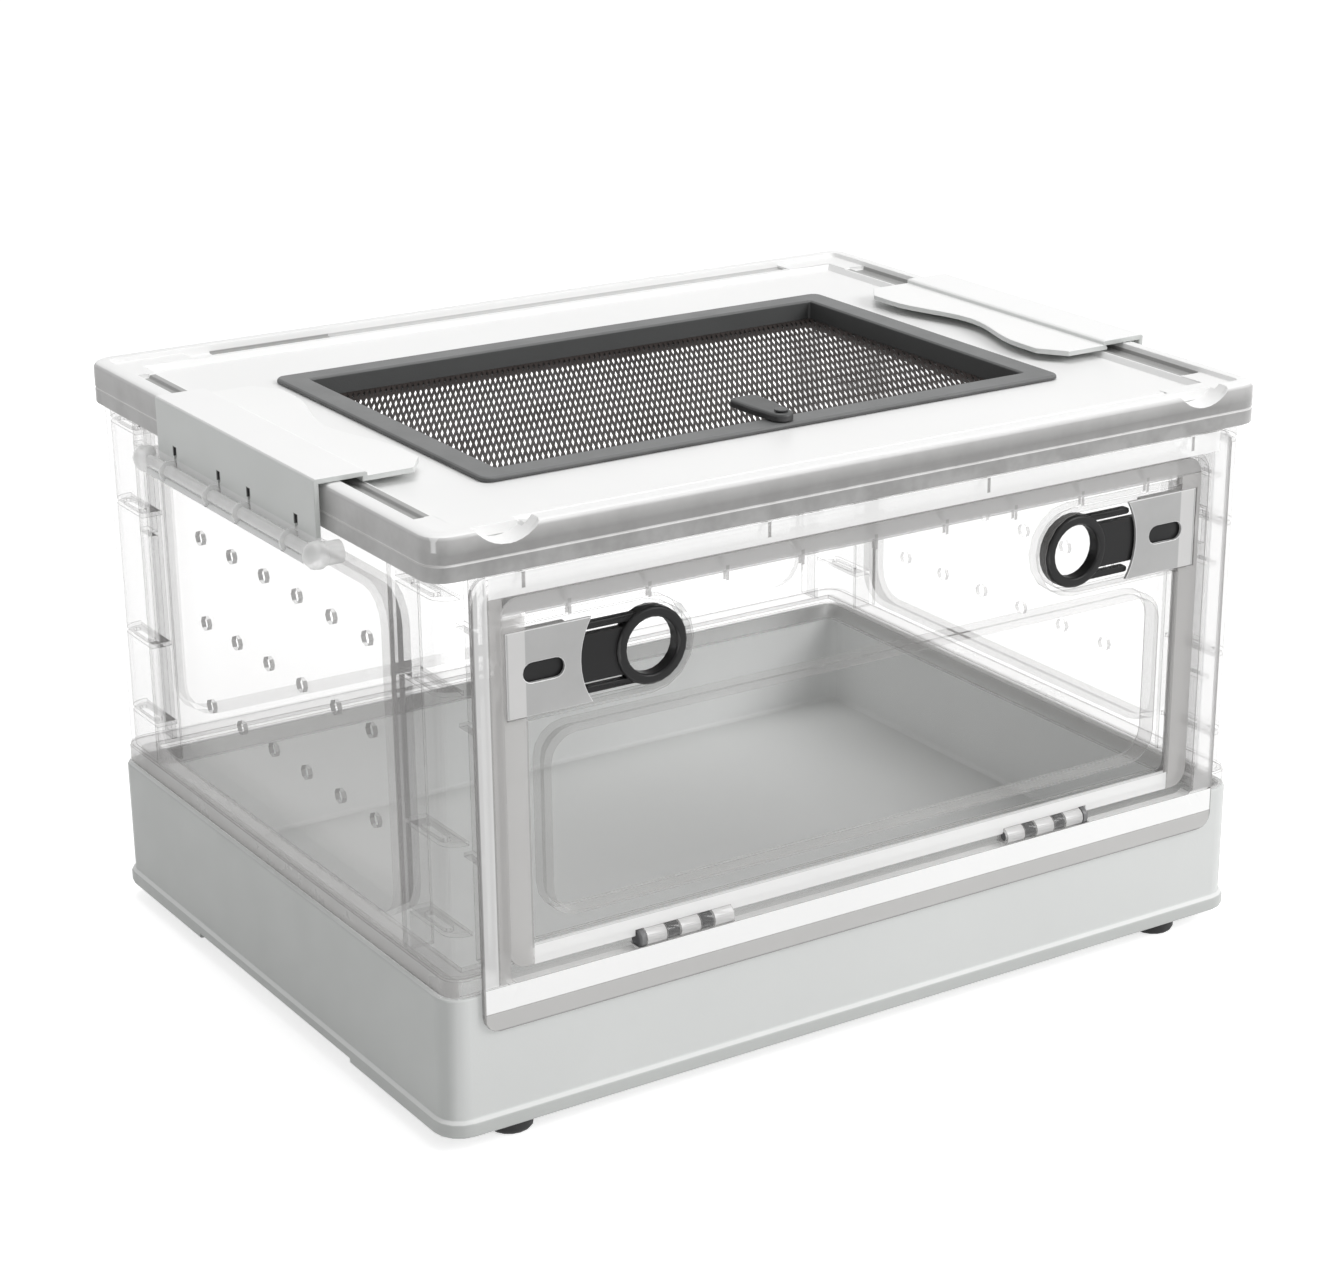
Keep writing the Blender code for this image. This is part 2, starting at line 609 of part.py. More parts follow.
def make_front_frame():
    half = FRAME_WIDTH / 2
    wall = CLEAR_WALL
    back = FRAME_FRONT + TUNNEL_DEPTH
    top = LID_BOTTOM - GAP
    bezel = rounded_box(-half, half, FRAME_BOTTOM, top, FRAME_RADIUS)
    opening = (-OPENING_HALF, OPENING_HALF, OPENING_BOTTOM, OPENING_TOP)
    tunnel = (-OPENING_HALF - wall, OPENING_HALF + wall, OPENING_BOTTOM - wall, OPENING_TOP + wall)
    radius = DOOR_RADIUS + DOOR_PLAY
    inner = rounded_box(*opening, radius, lower=FRAME_SILL_RADIUS)
    outer = rounded_box(*tunnel, radius + wall, lower=FRAME_SILL_RADIUS + wall)
    frame = skin("front_frame", CLEAR_PLASTIC, [
        (bezel, FRAME_FRONT),
        (bezel, FRAME_BACK),
        (outer, FRAME_BACK),
        (outer, back),
        (inner, back),
        (inner, FRAME_FRONT),
    ], "front", ring=True, smooth=30)

    # tongue behind the lid's skirt, in line with the wall panels
    foot = OPENING_TOP + wall / 2
    tongue_back = wall - WALL_Y
    tongue = [
        (FRAME_BACK - wall / 2, foot),
        (tongue_back, foot),
        (tongue_back, WALL_TOP),
        (-WALL_Y, WALL_TOP),
        (-WALL_Y, top - wall),
        (FRAME_BACK - wall / 2, top - wall),
    ]
    join(frame, prisms("frame_tongue", CLEAR_PLASTIC,
                       [(tongue, -BETWEEN_POSTS, BETWEEN_POSTS)], "side"))
    sill = OPENING_HALF + wall / 2
    join(frame, boxes("frame_dam", [
        (-sill, sill, back - wall, back - GAP, OPENING_BOTTOM - wall / 2, DAM_TOP),
    ]))

    gussets = []
    for x in (INNER_GUSSET, BETWEEN_POSTS - OUTER_GUSSET):
        for side in (-1, 1):
            front = tongue_back - wall / 2
            outline = [(front, foot), (front + GUSSET, foot), (front, foot + 1.4 * GUSSET)]
            gussets.append((outline, side * x - SHELF / 2, side * x + SHELF / 2))
    join(frame, prisms("frame_gussets", CLEAR_PLASTIC, gussets, "side"))

    # room for the door's barrels and the pin heads, then the lugs between them
    cut(frame, hinge_cylinders("barrel_room", "barrel", BARREL_RADIUS + GAP, HINGE_PLAY))
    cut(frame, hinge_cylinders("head_room", "head", PIN_HEAD_RADIUS + GAP, HINGE_PLAY))
    join(frame, hinge_cylinders("frame_lugs", "lug", LUG_RADIUS))
    cut(frame, hinge_bore("frame_pin_bore"))

    # slots in the tunnel's sides for the latch bolts
    bolt_y0, bolt_y1 = slider_depths()
    slots = []
    for side in (-1, 1):
        ends = sorted((side * (OPENING_HALF - wall), side * (OPENING_HALF + 2 * wall)))
        slots.append((*ends, bolt_y0 - BOLT_PLAY[0], bolt_y1 + BOLT_PLAY[0],
                      LATCH_Z - BOLT_HALF - BOLT_PLAY[1], LATCH_Z + BOLT_HALF + BOLT_PLAY[1]))
    cut(frame, boxes("bolt_slots", slots))


# Door: a pan with a deep rim, a sunk window, and a pocket for each latch

def slider_depths():
    front = DOOR_FRONT + COVER_THICK + 2 * GAP
    return front, front + SLIDER_THICK


def latch_pocket(side, half, grow):
    # stadium from the door's edge to the ring's far side
    end = arc(LATCH_RING_X, LATCH_Z, half, 90, 270, 8)
    outside = HALF_DOOR - CLEAR_WALL + grow
    return mirrored([*end, (outside, LATCH_Z - half), (outside, LATCH_Z + half)], side)


def make_door():
    wall = CLEAR_WALL
    whole = (-HALF_DOOR, HALF_DOOR, DOOR_BOTTOM, DOOR_TOP)
    within = (wall - HALF_DOOR, HALF_DOOR - wall, DOOR_BOTTOM + wall, DOOR_TOP - wall)
    half = HALF_DOOR - PANE_SIDE
    pane = (-half, half, PANE_BOTTOM, PANE_TOP)
    behind = (-half - wall, half + wall, PANE_BOTTOM - wall, PANE_TOP + wall)
    rim_back = DOOR_FRONT + DOOR_RIM
    sunk = DOOR_FRONT + PANE_DEPTH
    face_back = DOOR_FRONT + wall
    inner_radius = DOOR_RADIUS - wall
    door = skin("front_door", CLEAR_PLASTIC, [
        (rounded_box(*pane, PANE_RADIUS), sunk),
        (rounded_box(*pane, PANE_RADIUS), DOOR_FRONT),
        (rounded_box(*whole, DOOR_RADIUS), DOOR_FRONT),
        (rounded_box(*whole, DOOR_RADIUS), rim_back),
        (rounded_box(*within, inner_radius), rim_back),
        (rounded_box(*within, inner_radius), face_back),
        (rounded_box(*behind, PANE_RADIUS + wall), face_back),
        (rounded_box(*behind, PANE_RADIUS + wall), sunk + wall),
    ], "front", smooth=30)

    backing = []
    pockets = []
    for side in (-1, 1):
        outline = latch_pocket(side, POCKET_HALF + wall, wall / 2)
        backing.append((outline, DOOR_FRONT + wall / 2, POCKET_FLOOR + wall))
        pockets.append((latch_pocket(side, POCKET_HALF, 0), DOOR_FRONT - wall, POCKET_FLOOR))
    join(door, prisms("pocket_backing", CLEAR_PLASTIC, backing, "front"))
    cut(door, prisms("pocket_cutter", CLEAR_PLASTIC, pockets, "front"))

    # the bolts pass through the rim
    bolt_y0, bolt_y1 = slider_depths()
    slots = []
    for side in (-1, 1):
        ends = sorted((side * (HALF_DOOR - 2 * wall), side * (HALF_DOOR + wall)))
        slots.append((*ends, bolt_y0 - GAP, bolt_y1 + GAP,
                      LATCH_Z - BOLT_HALF - GAP, LATCH_Z + BOLT_HALF + GAP))
    cut(door, boxes("rim_slots", slots))

    gussets = []
    top = DOOR_TOP - wall / 2
    front = face_back - wall / 2
    for i in range(DOOR_GUSSETS):
        x = (i - (DOOR_GUSSETS - 1) / 2) * DOOR_GUSSET_PITCH
        outline = [(front, top), (front + GUSSET + wall, top), (front, top - GUSSET - wall / 2)]
        gussets.append((outline, x - SHELF / 2, x + SHELF / 2))
    join(door, prisms("door_gussets", CLEAR_PLASTIC, gussets, "side"))

    # barrels on the door, with room for the frame's lugs and the pin heads
    cut(door, hinge_cylinders("lug_room", "lug", LUG_RADIUS + GAP, HINGE_PLAY))
    cut(door, hinge_cylinders("pin_head_room", "head", PIN_HEAD_RADIUS + GAP, HINGE_PLAY))
    join(door, hinge_cylinders("door_barrels", "barrel", BARREL_RADIUS))
    cut(door, hinge_bore("door_pin_bore"))


# Latches: a cover plate fixed in the pocket, and a slider with a finger ring

def cover_reach(height):
    return LATCH_RING_X + sqrt(COVER_RADIUS ** 2 - height ** 2)


def make_latch_cover(name, side):
    half = POCKET_HALF - GAP
    outer = HALF_DOOR - CLEAR_WALL - GAP
    spread = degrees(asin(half / COVER_RADIUS))
    curve = arc(LATCH_RING_X, LATCH_Z, COVER_RADIUS, spread, -spread, 10)
    outline = mirrored([*curve, (outer, LATCH_Z - half), (outer, LATCH_Z + half)], side)
    depths = (DOOR_FRONT + GAP, DOOR_FRONT + GAP + COVER_THICK)
    cover = prisms(name, COVER_PLASTIC, [(outline, *depths)], "front")
    long, high = COVER_WINDOW
    middle = (cover_reach(0) + outer) / 2
    window = mirrored(rounded_box(middle - long / 2, middle + long / 2,
                                  LATCH_Z - high / 2, LATCH_Z + high / 2, high / 2.02), side)
    through = (DOOR_FRONT - COVER_THICK, DOOR_FRONT + 3 * COVER_THICK)
    cut(cover, prisms(name + "_window", COVER_PLASTIC, [(window, *through)], "front"))

    # two feet carry the plate on the pocket's floor, above and below the slider
    foot_in = cover_reach(half) + SLIDER_HALF
    feet = []
    for end in (-1, 1):
        near = LATCH_Z + end * (half - 3 * GAP)
        far = LATCH_Z + end * (SLIDER_HALF + 3 * PRONG_HALF + 4 * GAP)
        low, high_z = sorted((near, far))
        ends = sorted((side * foot_in, side * (outer - GAP)))
        feet.append((*ends, DOOR_FRONT + COVER_THICK / 2, POCKET_FLOOR - GAP, low, high_z))
    join(cover, boxes(name + "_feet", feet))


def make_latch_slider(name, side):
    y0, y1 = slider_depths()
    ring_front = DOOR_FRONT + GAP
    ring_back = POCKET_FLOOR - GAP
    sides = SLIDER_SIDES
    outer = mirrored(circle(LATCH_RING_X, LATCH_Z, RING_OUTER, sides), side)
    crown = mirrored(circle(LATCH_RING_X, LATCH_Z, RING_OUTER - EDGE, sides), side)
    inner = mirrored(circle(LATCH_RING_X, LATCH_Z, RING_INNER, sides), side)
    flare = mirrored(circle(LATCH_RING_X, LATCH_Z, RING_INNER + EDGE, sides), side)
    slider = skin(name, BLACK_PLASTIC, [
        (crown, ring_front),
        (outer, ring_front + EDGE),
        (outer, ring_back),
        (inner, ring_back),
        (inner, ring_front + EDGE),
        (flare, ring_front),
    ], "front", ring=True, smooth=40)

    # neck, and a slim bolt under the cover; the prongs beside them spring on the pocket's walls
    root = LATCH_RING_X + (RING_OUTER + RING_INNER) / 2
    tail = cover_reach(0) + LATCH_TRAVEL
    tip = HALF_DOOR - GAP
    body = mirrored([
        (root - RING_INNER / 4, LATCH_Z - SLIDER_HALF),
        (tail, LATCH_Z - SLIDER_HALF),
        (tail, LATCH_Z - BOLT_HALF),
        (tip - EDGE, LATCH_Z - BOLT_HALF),
        (tip, LATCH_Z - BOLT_HALF + EDGE),
        (tip, LATCH_Z + BOLT_HALF - EDGE),
        (tip - EDGE, LATCH_Z + BOLT_HALF),
        (tail, LATCH_Z + BOLT_HALF),
        (tail, LATCH_Z + SLIDER_HALF),
        (root - RING_INNER / 4, LATCH_Z + SLIDER_HALF),
    ], side)
    join(slider, prisms(name + "_body", BLACK_PLASTIC, [(body, y0, y1)], "front"))
    prongs = []
    start = LATCH_RING_X + RING_INNER / 2
    for end in (-1, 1):
        middle = LATCH_Z + end * PRONG_OFFSET
        prong = rounded_box(start, cover_reach(PRONG_OFFSET) - GAP,
                            middle - PRONG_HALF, middle + PRONG_HALF, PRONG_HALF / 1.02)
        prongs.append((mirrored(prong, side), y0, y1))
    join(slider, prisms(name + "_prongs", BLACK_PLASTIC, prongs, "front"))
    cut(slider, prisms(name + "_finger_hole", BLACK_PLASTIC,
                       [(inner, ring_front - EDGE, ring_back + EDGE)], "front"))


# Clamp rods: a clear rod with balls, discs and arms that stand on the side wall

def make_clamp_rod(name, side):
    x = side * (HALF_W + ROD_OUTSET)
    half = CLAMP_LENGTH / 2 + GAP + BALL_RADIUS
    rod_outline = circle(x, ROD_Z, ROD_RADIUS, ROD_SIDES)
    rod = prisms(name, CLEAR_PLASTIC, [(rod_outline, -half, half)], "front", smooth=40)

    mesh_data = bmesh.new()
    for end in (-1, 1):
        ball = bmesh.ops.create_uvsphere(mesh_data, u_segments=12, v_segments=6, radius=BALL_RADIUS)
        bmesh.ops.translate(mesh_data, verts=ball["verts"], vec=(x, end * half, ROD_Z))
    join(rod, solid(name + "_balls", CLEAR_PLASTIC, mesh_data))

    seat = side * (WALL_X + GAP)
    arms = []
    for end in (-1, 1):
        arm = circle(end * half, ROD_Z, BALL_RADIUS * 0.82, 12)
        arms.append((arm, *sorted((seat, x))))
    join(rod, prisms(name + "_arms", CLEAR_PLASTIC, arms, "side"))

    discs = []
    ribs = []
    for place in DISC_PLACES:
        for end in (-1, 1):
            y0 = end * place - DISC_THICK / 2
            y1 = end * place + DISC_THICK / 2
            discs.append((circle(x, ROD_Z, DISC_RADIUS, ROD_SIDES), y0, y1))
            thin = DISC_THICK / 8
            x0, x1 = sorted((seat, x))
            ribs.append((x0, x1, y0 + thin, y1 - thin, ROD_Z - ROD_RADIUS, ROD_Z + ROD_RADIUS))
    join(rod, prisms(name + "_discs", CLEAR_PLASTIC, discs, "front"))
    join(rod, boxes(name + "_ribs", ribs))


# Clamps: a hook round the rod, a flange, a plate over the lid's rim and a finger tab

def make_clamp(name, side):
    axis = HALF_W + ROD_OUTSET
    bore = ROD_RADIUS + HOOK_PLAY
    reach = bore + CLAMP_WALL
    plate_low = LID_RIM + GAP
    plate_top = plate_low + CLAMP_WALL
    plate_in = HALF_W - CLAMP_REACH
    tab_low = LID_RIDGE + TAB_CLEAR
    tab_top = tab_low + CLAMP_WALL
    # the profile is drawn for the right side, so the box lies towards smaller x
    outside = arc(axis, ROD_Z, bore, 180 - HOOK_END, 180, 10)
    inside = arc(axis, ROD_Z, reach, 180, 180 - HOOK_END, 10)
    profile = [
        *outside,
        (axis - bore, plate_top - EDGE),
        (axis - bore - EDGE, plate_top),
        (plate_in, plate_top),
        (plate_in - CLAMP_WALL / 2, plate_top - CLAMP_WALL / 4),
        (plate_in - CLAMP_WALL / 2, tab_low),
        (plate_in + CLAMP_WALL / 2, tab_low),
        (plate_in + CLAMP_WALL / 2, plate_low),
        (axis - reach, plate_low),
        *inside,
    ]
    half = CLAMP_LENGTH / 2
    clamp = prisms(name, CLAMP_PLASTIC, [(mirrored(profile, side), -half, half)], "front", 35)

    # tab, seen from above: two lobes with a finger hollow between them
    lobe = HALF_W - TAB_REACH
    root = plate_in
    edge = [(root, -half), (lobe + TAB_CHAMFER, -half), (lobe, -half + 1.4 * TAB_CHAMFER)]
    steps = 14
    for i in range(steps + 1):
        y = -TAB_LOBE + 2 * TAB_LOBE * i / steps
        edge.append((lobe + TAB_HOLLOW * (0.5 + 0.5 * cos(pi * y / TAB_LOBE)), y))
    edge += [(lobe, half - 1.4 * TAB_CHAMFER), (lobe + TAB_CHAMFER, half), (root, half)]
    join(clamp, prisms(name + "_tab", CLAMP_PLASTIC, [(mirrored(edge, side), tab_low, tab_top)],
                       "level"))

    # slits that clear the rod's discs and ribs
    slits = []
    for place in DISC_PLACES:
        for end in (-1, 1):
            x0, x1 = sorted((side * (HALF_W + GAP), side * (axis + 2 * reach)))
            slits.append((x0, x1, end * place - SLIT_WIDTH / 2, end * place + SLIT_WIDTH / 2,
                          ROD_Z - 2 * reach, ROD_Z + SLIT_RISE))
    cut(clamp, boxes(name + "_slits", slits))


# Lid: a skirt over the walls, a rim, a groove, a ridge and a sunk deck

def vent_hole():
    inset = VENT_RAIL - EDGE - GAP
    return VENT_WIDTH / 2 - inset, VENT_DEPTH / 2 - inset


def make_lid():
    radius = CORNER_RADIUS - EDGE

    def loop(inset, z):
        return inset_box(HALF_W, HALF_D, radius, inset), z

    hole_x, hole_y = vent_hole()
    groove = LID_RIM_WIDTH + EDGE
    ridge = groove + LID_GROOVE_WIDTH
    deck = ridge + LID_RIDGE_WIDTH + 2 * EDGE
    rim_room = LID_RIM_WIDTH - LID_WALL
    lid = skin("lid", LID_PLASTIC, [
        loop(0, LID_BOTTOM),
        loop(0, LID_SEAM - EDGE / 2),
        loop(EDGE / 2, LID_SEAM),
        loop(0, LID_SEAM + EDGE / 2),
        loop(0, LID_RIM - 3 * EDGE),
        loop(EDGE, LID_RIM - EDGE),
        loop(3 * EDGE, LID_RIM),
        loop(LID_RIM_WIDTH, LID_RIM),
        loop(groove, LID_GROOVE),
        loop(ridge, LID_GROOVE),
        loop(ridge + EDGE, LID_RIDGE),
        loop(ridge + LID_RIDGE_WIDTH, LID_RIDGE),
        loop(deck, LID_DECK),
        (inset_box(hole_x, hole_y, TUB_CORNER + GAP, 0), LID_DECK),
        (inset_box(hole_x, hole_y, TUB_CORNER + GAP, 0), LID_UNDER),
        loop(groove + LID_WALL, LID_UNDER),
        loop(rim_room + EDGE, LID_RIM - LID_WALL - EDGE),
        loop(LID_WALL + EDGE, LID_RIM - LID_WALL - EDGE),
        loop(LID_WALL, LID_RIM - LID_WALL - 3 * EDGE),
        loop(LID_WALL, LID_BOTTOM),
    ], "level", ring=True, smooth=30)

    # flat corners that close the groove
    corners = []
    out_x, out_y = HALF_W - LID_RIM_WIDTH + EDGE, HALF_D - LID_RIM_WIDTH + EDGE
    in_x, in_y = HALF_W - ridge - LID_RIDGE_WIDTH, HALF_D - ridge - LID_RIDGE_WIDTH
    far_x, far_y = HALF_W - LID_CORNER_X, HALF_D - LID_CORNER_Y
    angle = [(far_x, out_y), (out_x, out_y), (out_x, far_y), (in_x, far_y), (in_x, in_y), (far_x, in_y)]
    for side in (-1, 1):
        for end in (-1, 1):
            outline = [(x * side, y * end) for x, y in angle]
            corners.append((outline, LID_DECK - EDGE, LID_RIDGE + EDGE / 2))
    join(lid, prisms("lid_corners", LID_PLASTIC, corners, "level"))

    # two round scoops through the front rim, each with a wall of its own
    half = SCOOP_WIDTH / 2
    scoop_radius = (half ** 2 + SCOOP_DEPTH ** 2) / (2 * SCOOP_DEPTH)
    centre_z = LID_RIM - SCOOP_DEPTH + scoop_radius
    span = degrees(atan2(half, scoop_radius - SCOOP_DEPTH))
    liners = []
    scoops = []
    for side in (-1, 1):
        x = side * (HALF_W - SCOOP_FROM_SIDE)
        front = -HALF_D
        hollow = arc(x, centre_z, scoop_radius, 270 - span - 5, 270 + span + 5, 12)
        shell = arc(x, centre_z, scoop_radius + SCOOP_WALL, 270 - span + 8, 270 + span - 8, 12)
        scoops.append((hollow, front - EDGE, front + SCOOP_LENGTH))
        liners.append((shell, front + LID_WALL / 2, front + SCOOP_LENGTH + SCOOP_WALL))
    join(lid, prisms("scoop_liners", LID_PLASTIC, liners, "front"))
    cut(lid, prisms("scoop_cutter", LID_PLASTIC, scoops, "front"))


# Vent: a dark frame dropped into the lid, a diamond net in it, and a turn tab

def make_vent_frame():
    half_x = VENT_WIDTH / 2
    half_y = VENT_DEPTH / 2
    low = LID_DECK + GAP
    top = low + VENT_FLANGE
    bottom = LID_DECK - VENT_TUB
    ledge = bottom + VENT_LEDGE

    def loop(inset, z):
        return inset_box(half_x, half_y, max(VENT_CORNER, TUB_CORNER + inset), inset), z

    skin("vent_frame", DARK_PLASTIC, [
        loop(0, low),
        loop(0, top - EDGE),
        loop(EDGE, top),
        loop(VENT_RAIL, top),
        loop(VENT_RAIL + EDGE, top - EDGE),
        loop(VENT_RAIL + 2 * EDGE, ledge),
        loop(VENT_RAIL + 2 * EDGE + NET_BORDER, ledge),
        loop(VENT_RAIL + 2 * EDGE + NET_BORDER, bottom),
        loop(VENT_RAIL, bottom),
        loop(VENT_RAIL - EDGE, low),
    ], "level", ring=True, smooth=30)


def make_net():
    # strands cross at the corners of a grid, one slanting strand in each square
    inset = VENT_RAIL + 2 * EDGE + GAP
    half_x = VENT_WIDTH / 2 - inset
    half_y = VENT_DEPTH / 2 - inset
    z = LID_DECK - VENT_TUB + VENT_LEDGE + GAP
    inner_x = half_x - NET_BORDER
    inner_y = half_y - NET_BORDER
    step_x = 2 * inner_x / NET_COLUMNS
    step_y = 2 * inner_y / NET_ROWS
    slant = sqrt(step_x ** 2 + step_y ** 2)
    cut_x = NET_STRAND / 2 * slant / step_y
    cut_y = NET_STRAND / 2 * slant / step_x

    mesh_data = bmesh.new()
    known = {}

    def vertex(x, y):
        key = (round(x / GAP * 50), round(y / GAP * 50))
        if key not in known:
            known[key] = mesh_data.verts.new((x, y, z))
        return known[key]

    def face(points):
        mesh_data.faces.new([vertex(x, y) for x, y in points])

    def grid_x(i):
        return -inner_x + i * step_x

    def grid_y(j):
        return -inner_y + j * step_y

    def strand(i, j, turn):
        # from corner (i, j) to the corner one square further, towards +X or -X
        x0, y0 = grid_x(i), grid_y(j)
        x1, y1 = grid_x(i + turn), grid_y(j + 1)
        side_x = cut_x * turn
        face([
            (x0, y0), (x0 + side_x, y0), (x1, y1 - cut_y),
            (x1, y1), (x1 - side_x, y1), (x0, y0 + cut_y),
        ])

    for i in range(NET_COLUMNS):
        for j in range(NET_ROWS):
            if (i + j) % 2 == 0:
                strand(i, j, 1)
            else:
                strand(i + 1, j, -1)

    def border(count, grid, offset, touch, along_x, outward, parity):
        # one face for each square along an edge, out to the border's far side
        for i in range(count):
            a0, a1 = grid(i), grid(i + 1)
            between = a0 + touch if (i + parity) % 2 == 0 else a1 - touch
            far = offset + outward * NET_BORDER
            row = [(a0, offset), (between, offset), (a1, offset), (a1, far), (a0, far)]
            face(row if along_x else [(v, u) for u, v in row])

    border(NET_COLUMNS, grid_x, grid_y(0), cut_x, True, -1, 0)
    border(NET_COLUMNS, grid_x, grid_y(NET_ROWS), cut_x, True, 1, NET_ROWS)
    border(NET_ROWS, grid_y, grid_x(0), cut_y, False, -1, 0)
    border(NET_ROWS, grid_y, grid_x(NET_COLUMNS), cut_y, False, 1, NET_COLUMNS)
    for i, sx in ((0, -1), (NET_COLUMNS, 1)):
        for j, sy in ((0, -1), (NET_ROWS, 1)):
            x, y = grid_x(i), grid_y(j)
            far_x, far_y = x + sx * NET_BORDER, y + sy * NET_BORDER
            face([(x, y), (far_x, y), (far_x, far_y), (x, far_y)])

    lifted = bmesh.ops.extrude_face_region(mesh_data, geom=mesh_data.faces[:])
    top = [item for item in lifted["geom"] if isinstance(item, bmesh.types.BMVert)]
    bmesh.ops.translate(mesh_data, verts=top, vec=(0, 0, NET_THICK))
    solid("vent_net", DARK_PLASTIC, mesh_data)


def turn_tab_pivot():
    return -VENT_DEPTH / 2 + VENT_RAIL / 2 + EDGE


def make_turn_tab():
    pivot_y = turn_tab_pivot()
    low = LID_DECK + GAP + VENT_FLANGE + GAP
    high = low + TURN_TAB_THICK
    round_end = TURN_TAB_NECK / 2
    wide = TURN_TAB_WIDTH / 2
    far = pivot_y - round_end + TURN_TAB_LENGTH
    flat = far - TURN_TAB_LENGTH / 2.4

    def outline(shrink):
        w = wide - shrink
        end = far - shrink
        return [
            *arc(0, pivot_y, round_end - shrink, 180, 360, 8),
            (w, flat),
            (w, end - 2 * EDGE),
            (w - 2 * EDGE, end),
            (-w + 2 * EDGE, end),
            (-w, end - 2 * EDGE),
            (-w, flat),
        ]

    tab = skin("turn_tab", DARK_PLASTIC, [
        (outline(0), low),
        (outline(0), high - EDGE),
        (outline(EDGE), high),
    ], "level", smooth=30)
    bore = circle(0, pivot_y, PIVOT_RADIUS + GAP, 12)
    cut(tab, prisms("turn_tab_bore", DARK_PLASTIC, [(bore, low - EDGE, high + EDGE)], "level"))

    # pivot stud, standing on the rail
    stud = circle(0, pivot_y, PIVOT_RADIUS, 12)
    head = circle(0, pivot_y, PIVOT_RADIUS + 3 * GAP, 12)
    skin("tab_pivot", DARK_PLASTIC, [
        (stud, low),
        (stud, high + GAP),
        (head, high + GAP),
        (head, high + GAP + EDGE),
    ], "level", smooth=40)


# Origins: each moving piece turns or slides about its own origin, with its fittings and cutters

def hang(name, pivot, riders=()):
    piece = bpy.data.objects[name]
    back = Matrix.Translation(-Vector(pivot))
    piece.data.transform(back)
    piece.location = pivot
    cutters = [step.object for step in piece.modifiers]
    for rider in [bpy.data.objects[name] for name in riders] + cutters:
        rider.parent = piece
        rider.matrix_parent_inverse = back


foot_x = HALF_W - FOOT_INSET
foot_y = TRAY_HALF_D - TRAY_WALL - GAP - FOOT_RADIUS
for side, side_name in ((-1, "left"), (1, "right")):
    for end, end_name in ((-1, "front"), (1, "back")):
        make_foot(f"foot_{end_name}_{side_name}", side * foot_x, end * foot_y)
        make_post(f"post_{end_name}_{side_name}", side, end)
    make_side_panel(f"{side_name}_panel", side)
    make_clamp_rod(f"{side_name}_clamp_rod", side)
    make_clamp(f"{side_name}_clamp", side)
    make_latch_cover(f"{side_name}_latch_cover", side)
    make_latch_slider(f"{side_name}_latch_slider", side)
    make_hinge_pin(f"{side_name}_hinge_pin", side)
make_tray()
make_seat_ring()
make_back_panel()
make_front_frame()
make_door()
make_lid()
make_vent_frame()
make_net()
make_turn_tab()

door_axis = (0, HINGE_Y, HINGE_Z)
door_riders = []
for side, side_name in ((-1, "left"), (1, "right")):
    ring_middle = (side * LATCH_RING_X, DOOR_FRONT, LATCH_Z)
    hang(f"{side_name}_latch_slider", ring_middle)
    hang(f"{side_name}_clamp", (side * (HALF_W + ROD_OUTSET), 0, ROD_Z))
    door_riders += [f"{side_name}_latch_cover", f"{side_name}_latch_slider"]
hang("front_door", door_axis, door_riders)
hang("turn_tab", (0, turn_tab_pivot(), LID_DECK))
hang("vent_frame", (0, 0, LID_DECK), ["vent_net", "tab_pivot", "turn_tab"])
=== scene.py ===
import json
from math import radians

import bmesh
import bpy
from mathutils import Matrix, Vector


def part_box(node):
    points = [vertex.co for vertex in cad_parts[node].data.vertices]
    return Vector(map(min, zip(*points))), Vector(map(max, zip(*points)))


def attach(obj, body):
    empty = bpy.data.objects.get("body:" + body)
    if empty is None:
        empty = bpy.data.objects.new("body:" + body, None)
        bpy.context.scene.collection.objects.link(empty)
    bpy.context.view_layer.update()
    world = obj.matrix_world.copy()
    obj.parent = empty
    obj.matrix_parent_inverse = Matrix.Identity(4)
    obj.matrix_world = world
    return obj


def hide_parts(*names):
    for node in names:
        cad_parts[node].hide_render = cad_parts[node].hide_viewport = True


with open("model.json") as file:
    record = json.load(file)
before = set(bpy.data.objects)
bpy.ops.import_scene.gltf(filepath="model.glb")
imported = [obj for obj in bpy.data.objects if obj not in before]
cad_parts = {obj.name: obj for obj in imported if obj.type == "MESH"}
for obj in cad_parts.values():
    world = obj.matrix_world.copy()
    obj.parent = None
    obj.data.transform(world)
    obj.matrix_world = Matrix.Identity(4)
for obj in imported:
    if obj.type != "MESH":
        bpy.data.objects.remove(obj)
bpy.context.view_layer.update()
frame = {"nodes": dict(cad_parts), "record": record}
cadNodes = frame["nodes"]
bodyOf = {node: body for body, members in frame["record"]["behaviour"]["bodies"].items()
          for node in members}
mm = 0.001
print("frame loaded,", len(cadNodes), "nodes")


# Shared node groups

noiseSet = {
    "drift": {"scale": 9.0, "detail": 3.0, "roughness": 0.55},
    "marks": {"scale": 38.0, "detail": 4.0, "roughness": 0.6},
    "grain": {"detail": 1.0, "roughness": 0.5},
    "wearAndHighlight": {"scale": 70.0, "detail": 3.0, "roughness": 0.6},
}
spanSet = {
    # noise values between which a tone, a mark, or the scuffs and painted highlight on edges
    # come up
    "drift": (0.3, 0.7), "marks": (0.35, 0.7), "wearAndHighlight": (0.35, 0.6), "wornAndLitEdge": (0.515, 0.60),
    # how squarely a face looks one way: from none of that way's painted tone to all of it
    "across": (0.5, 0.8), "patch": (0.2, 0.6),
    # how level with its sheet a clear face is: from none of the wall's painted shade to all of
    # it
    "wall": (0.9, 0.5),
}
leastWearAndHighlight = 0.35
patchBlur = 0.2 * mm
grainDepth = 0.12 * mm
clearShadow = 0.35      # share of a clear piece's shadow that is left


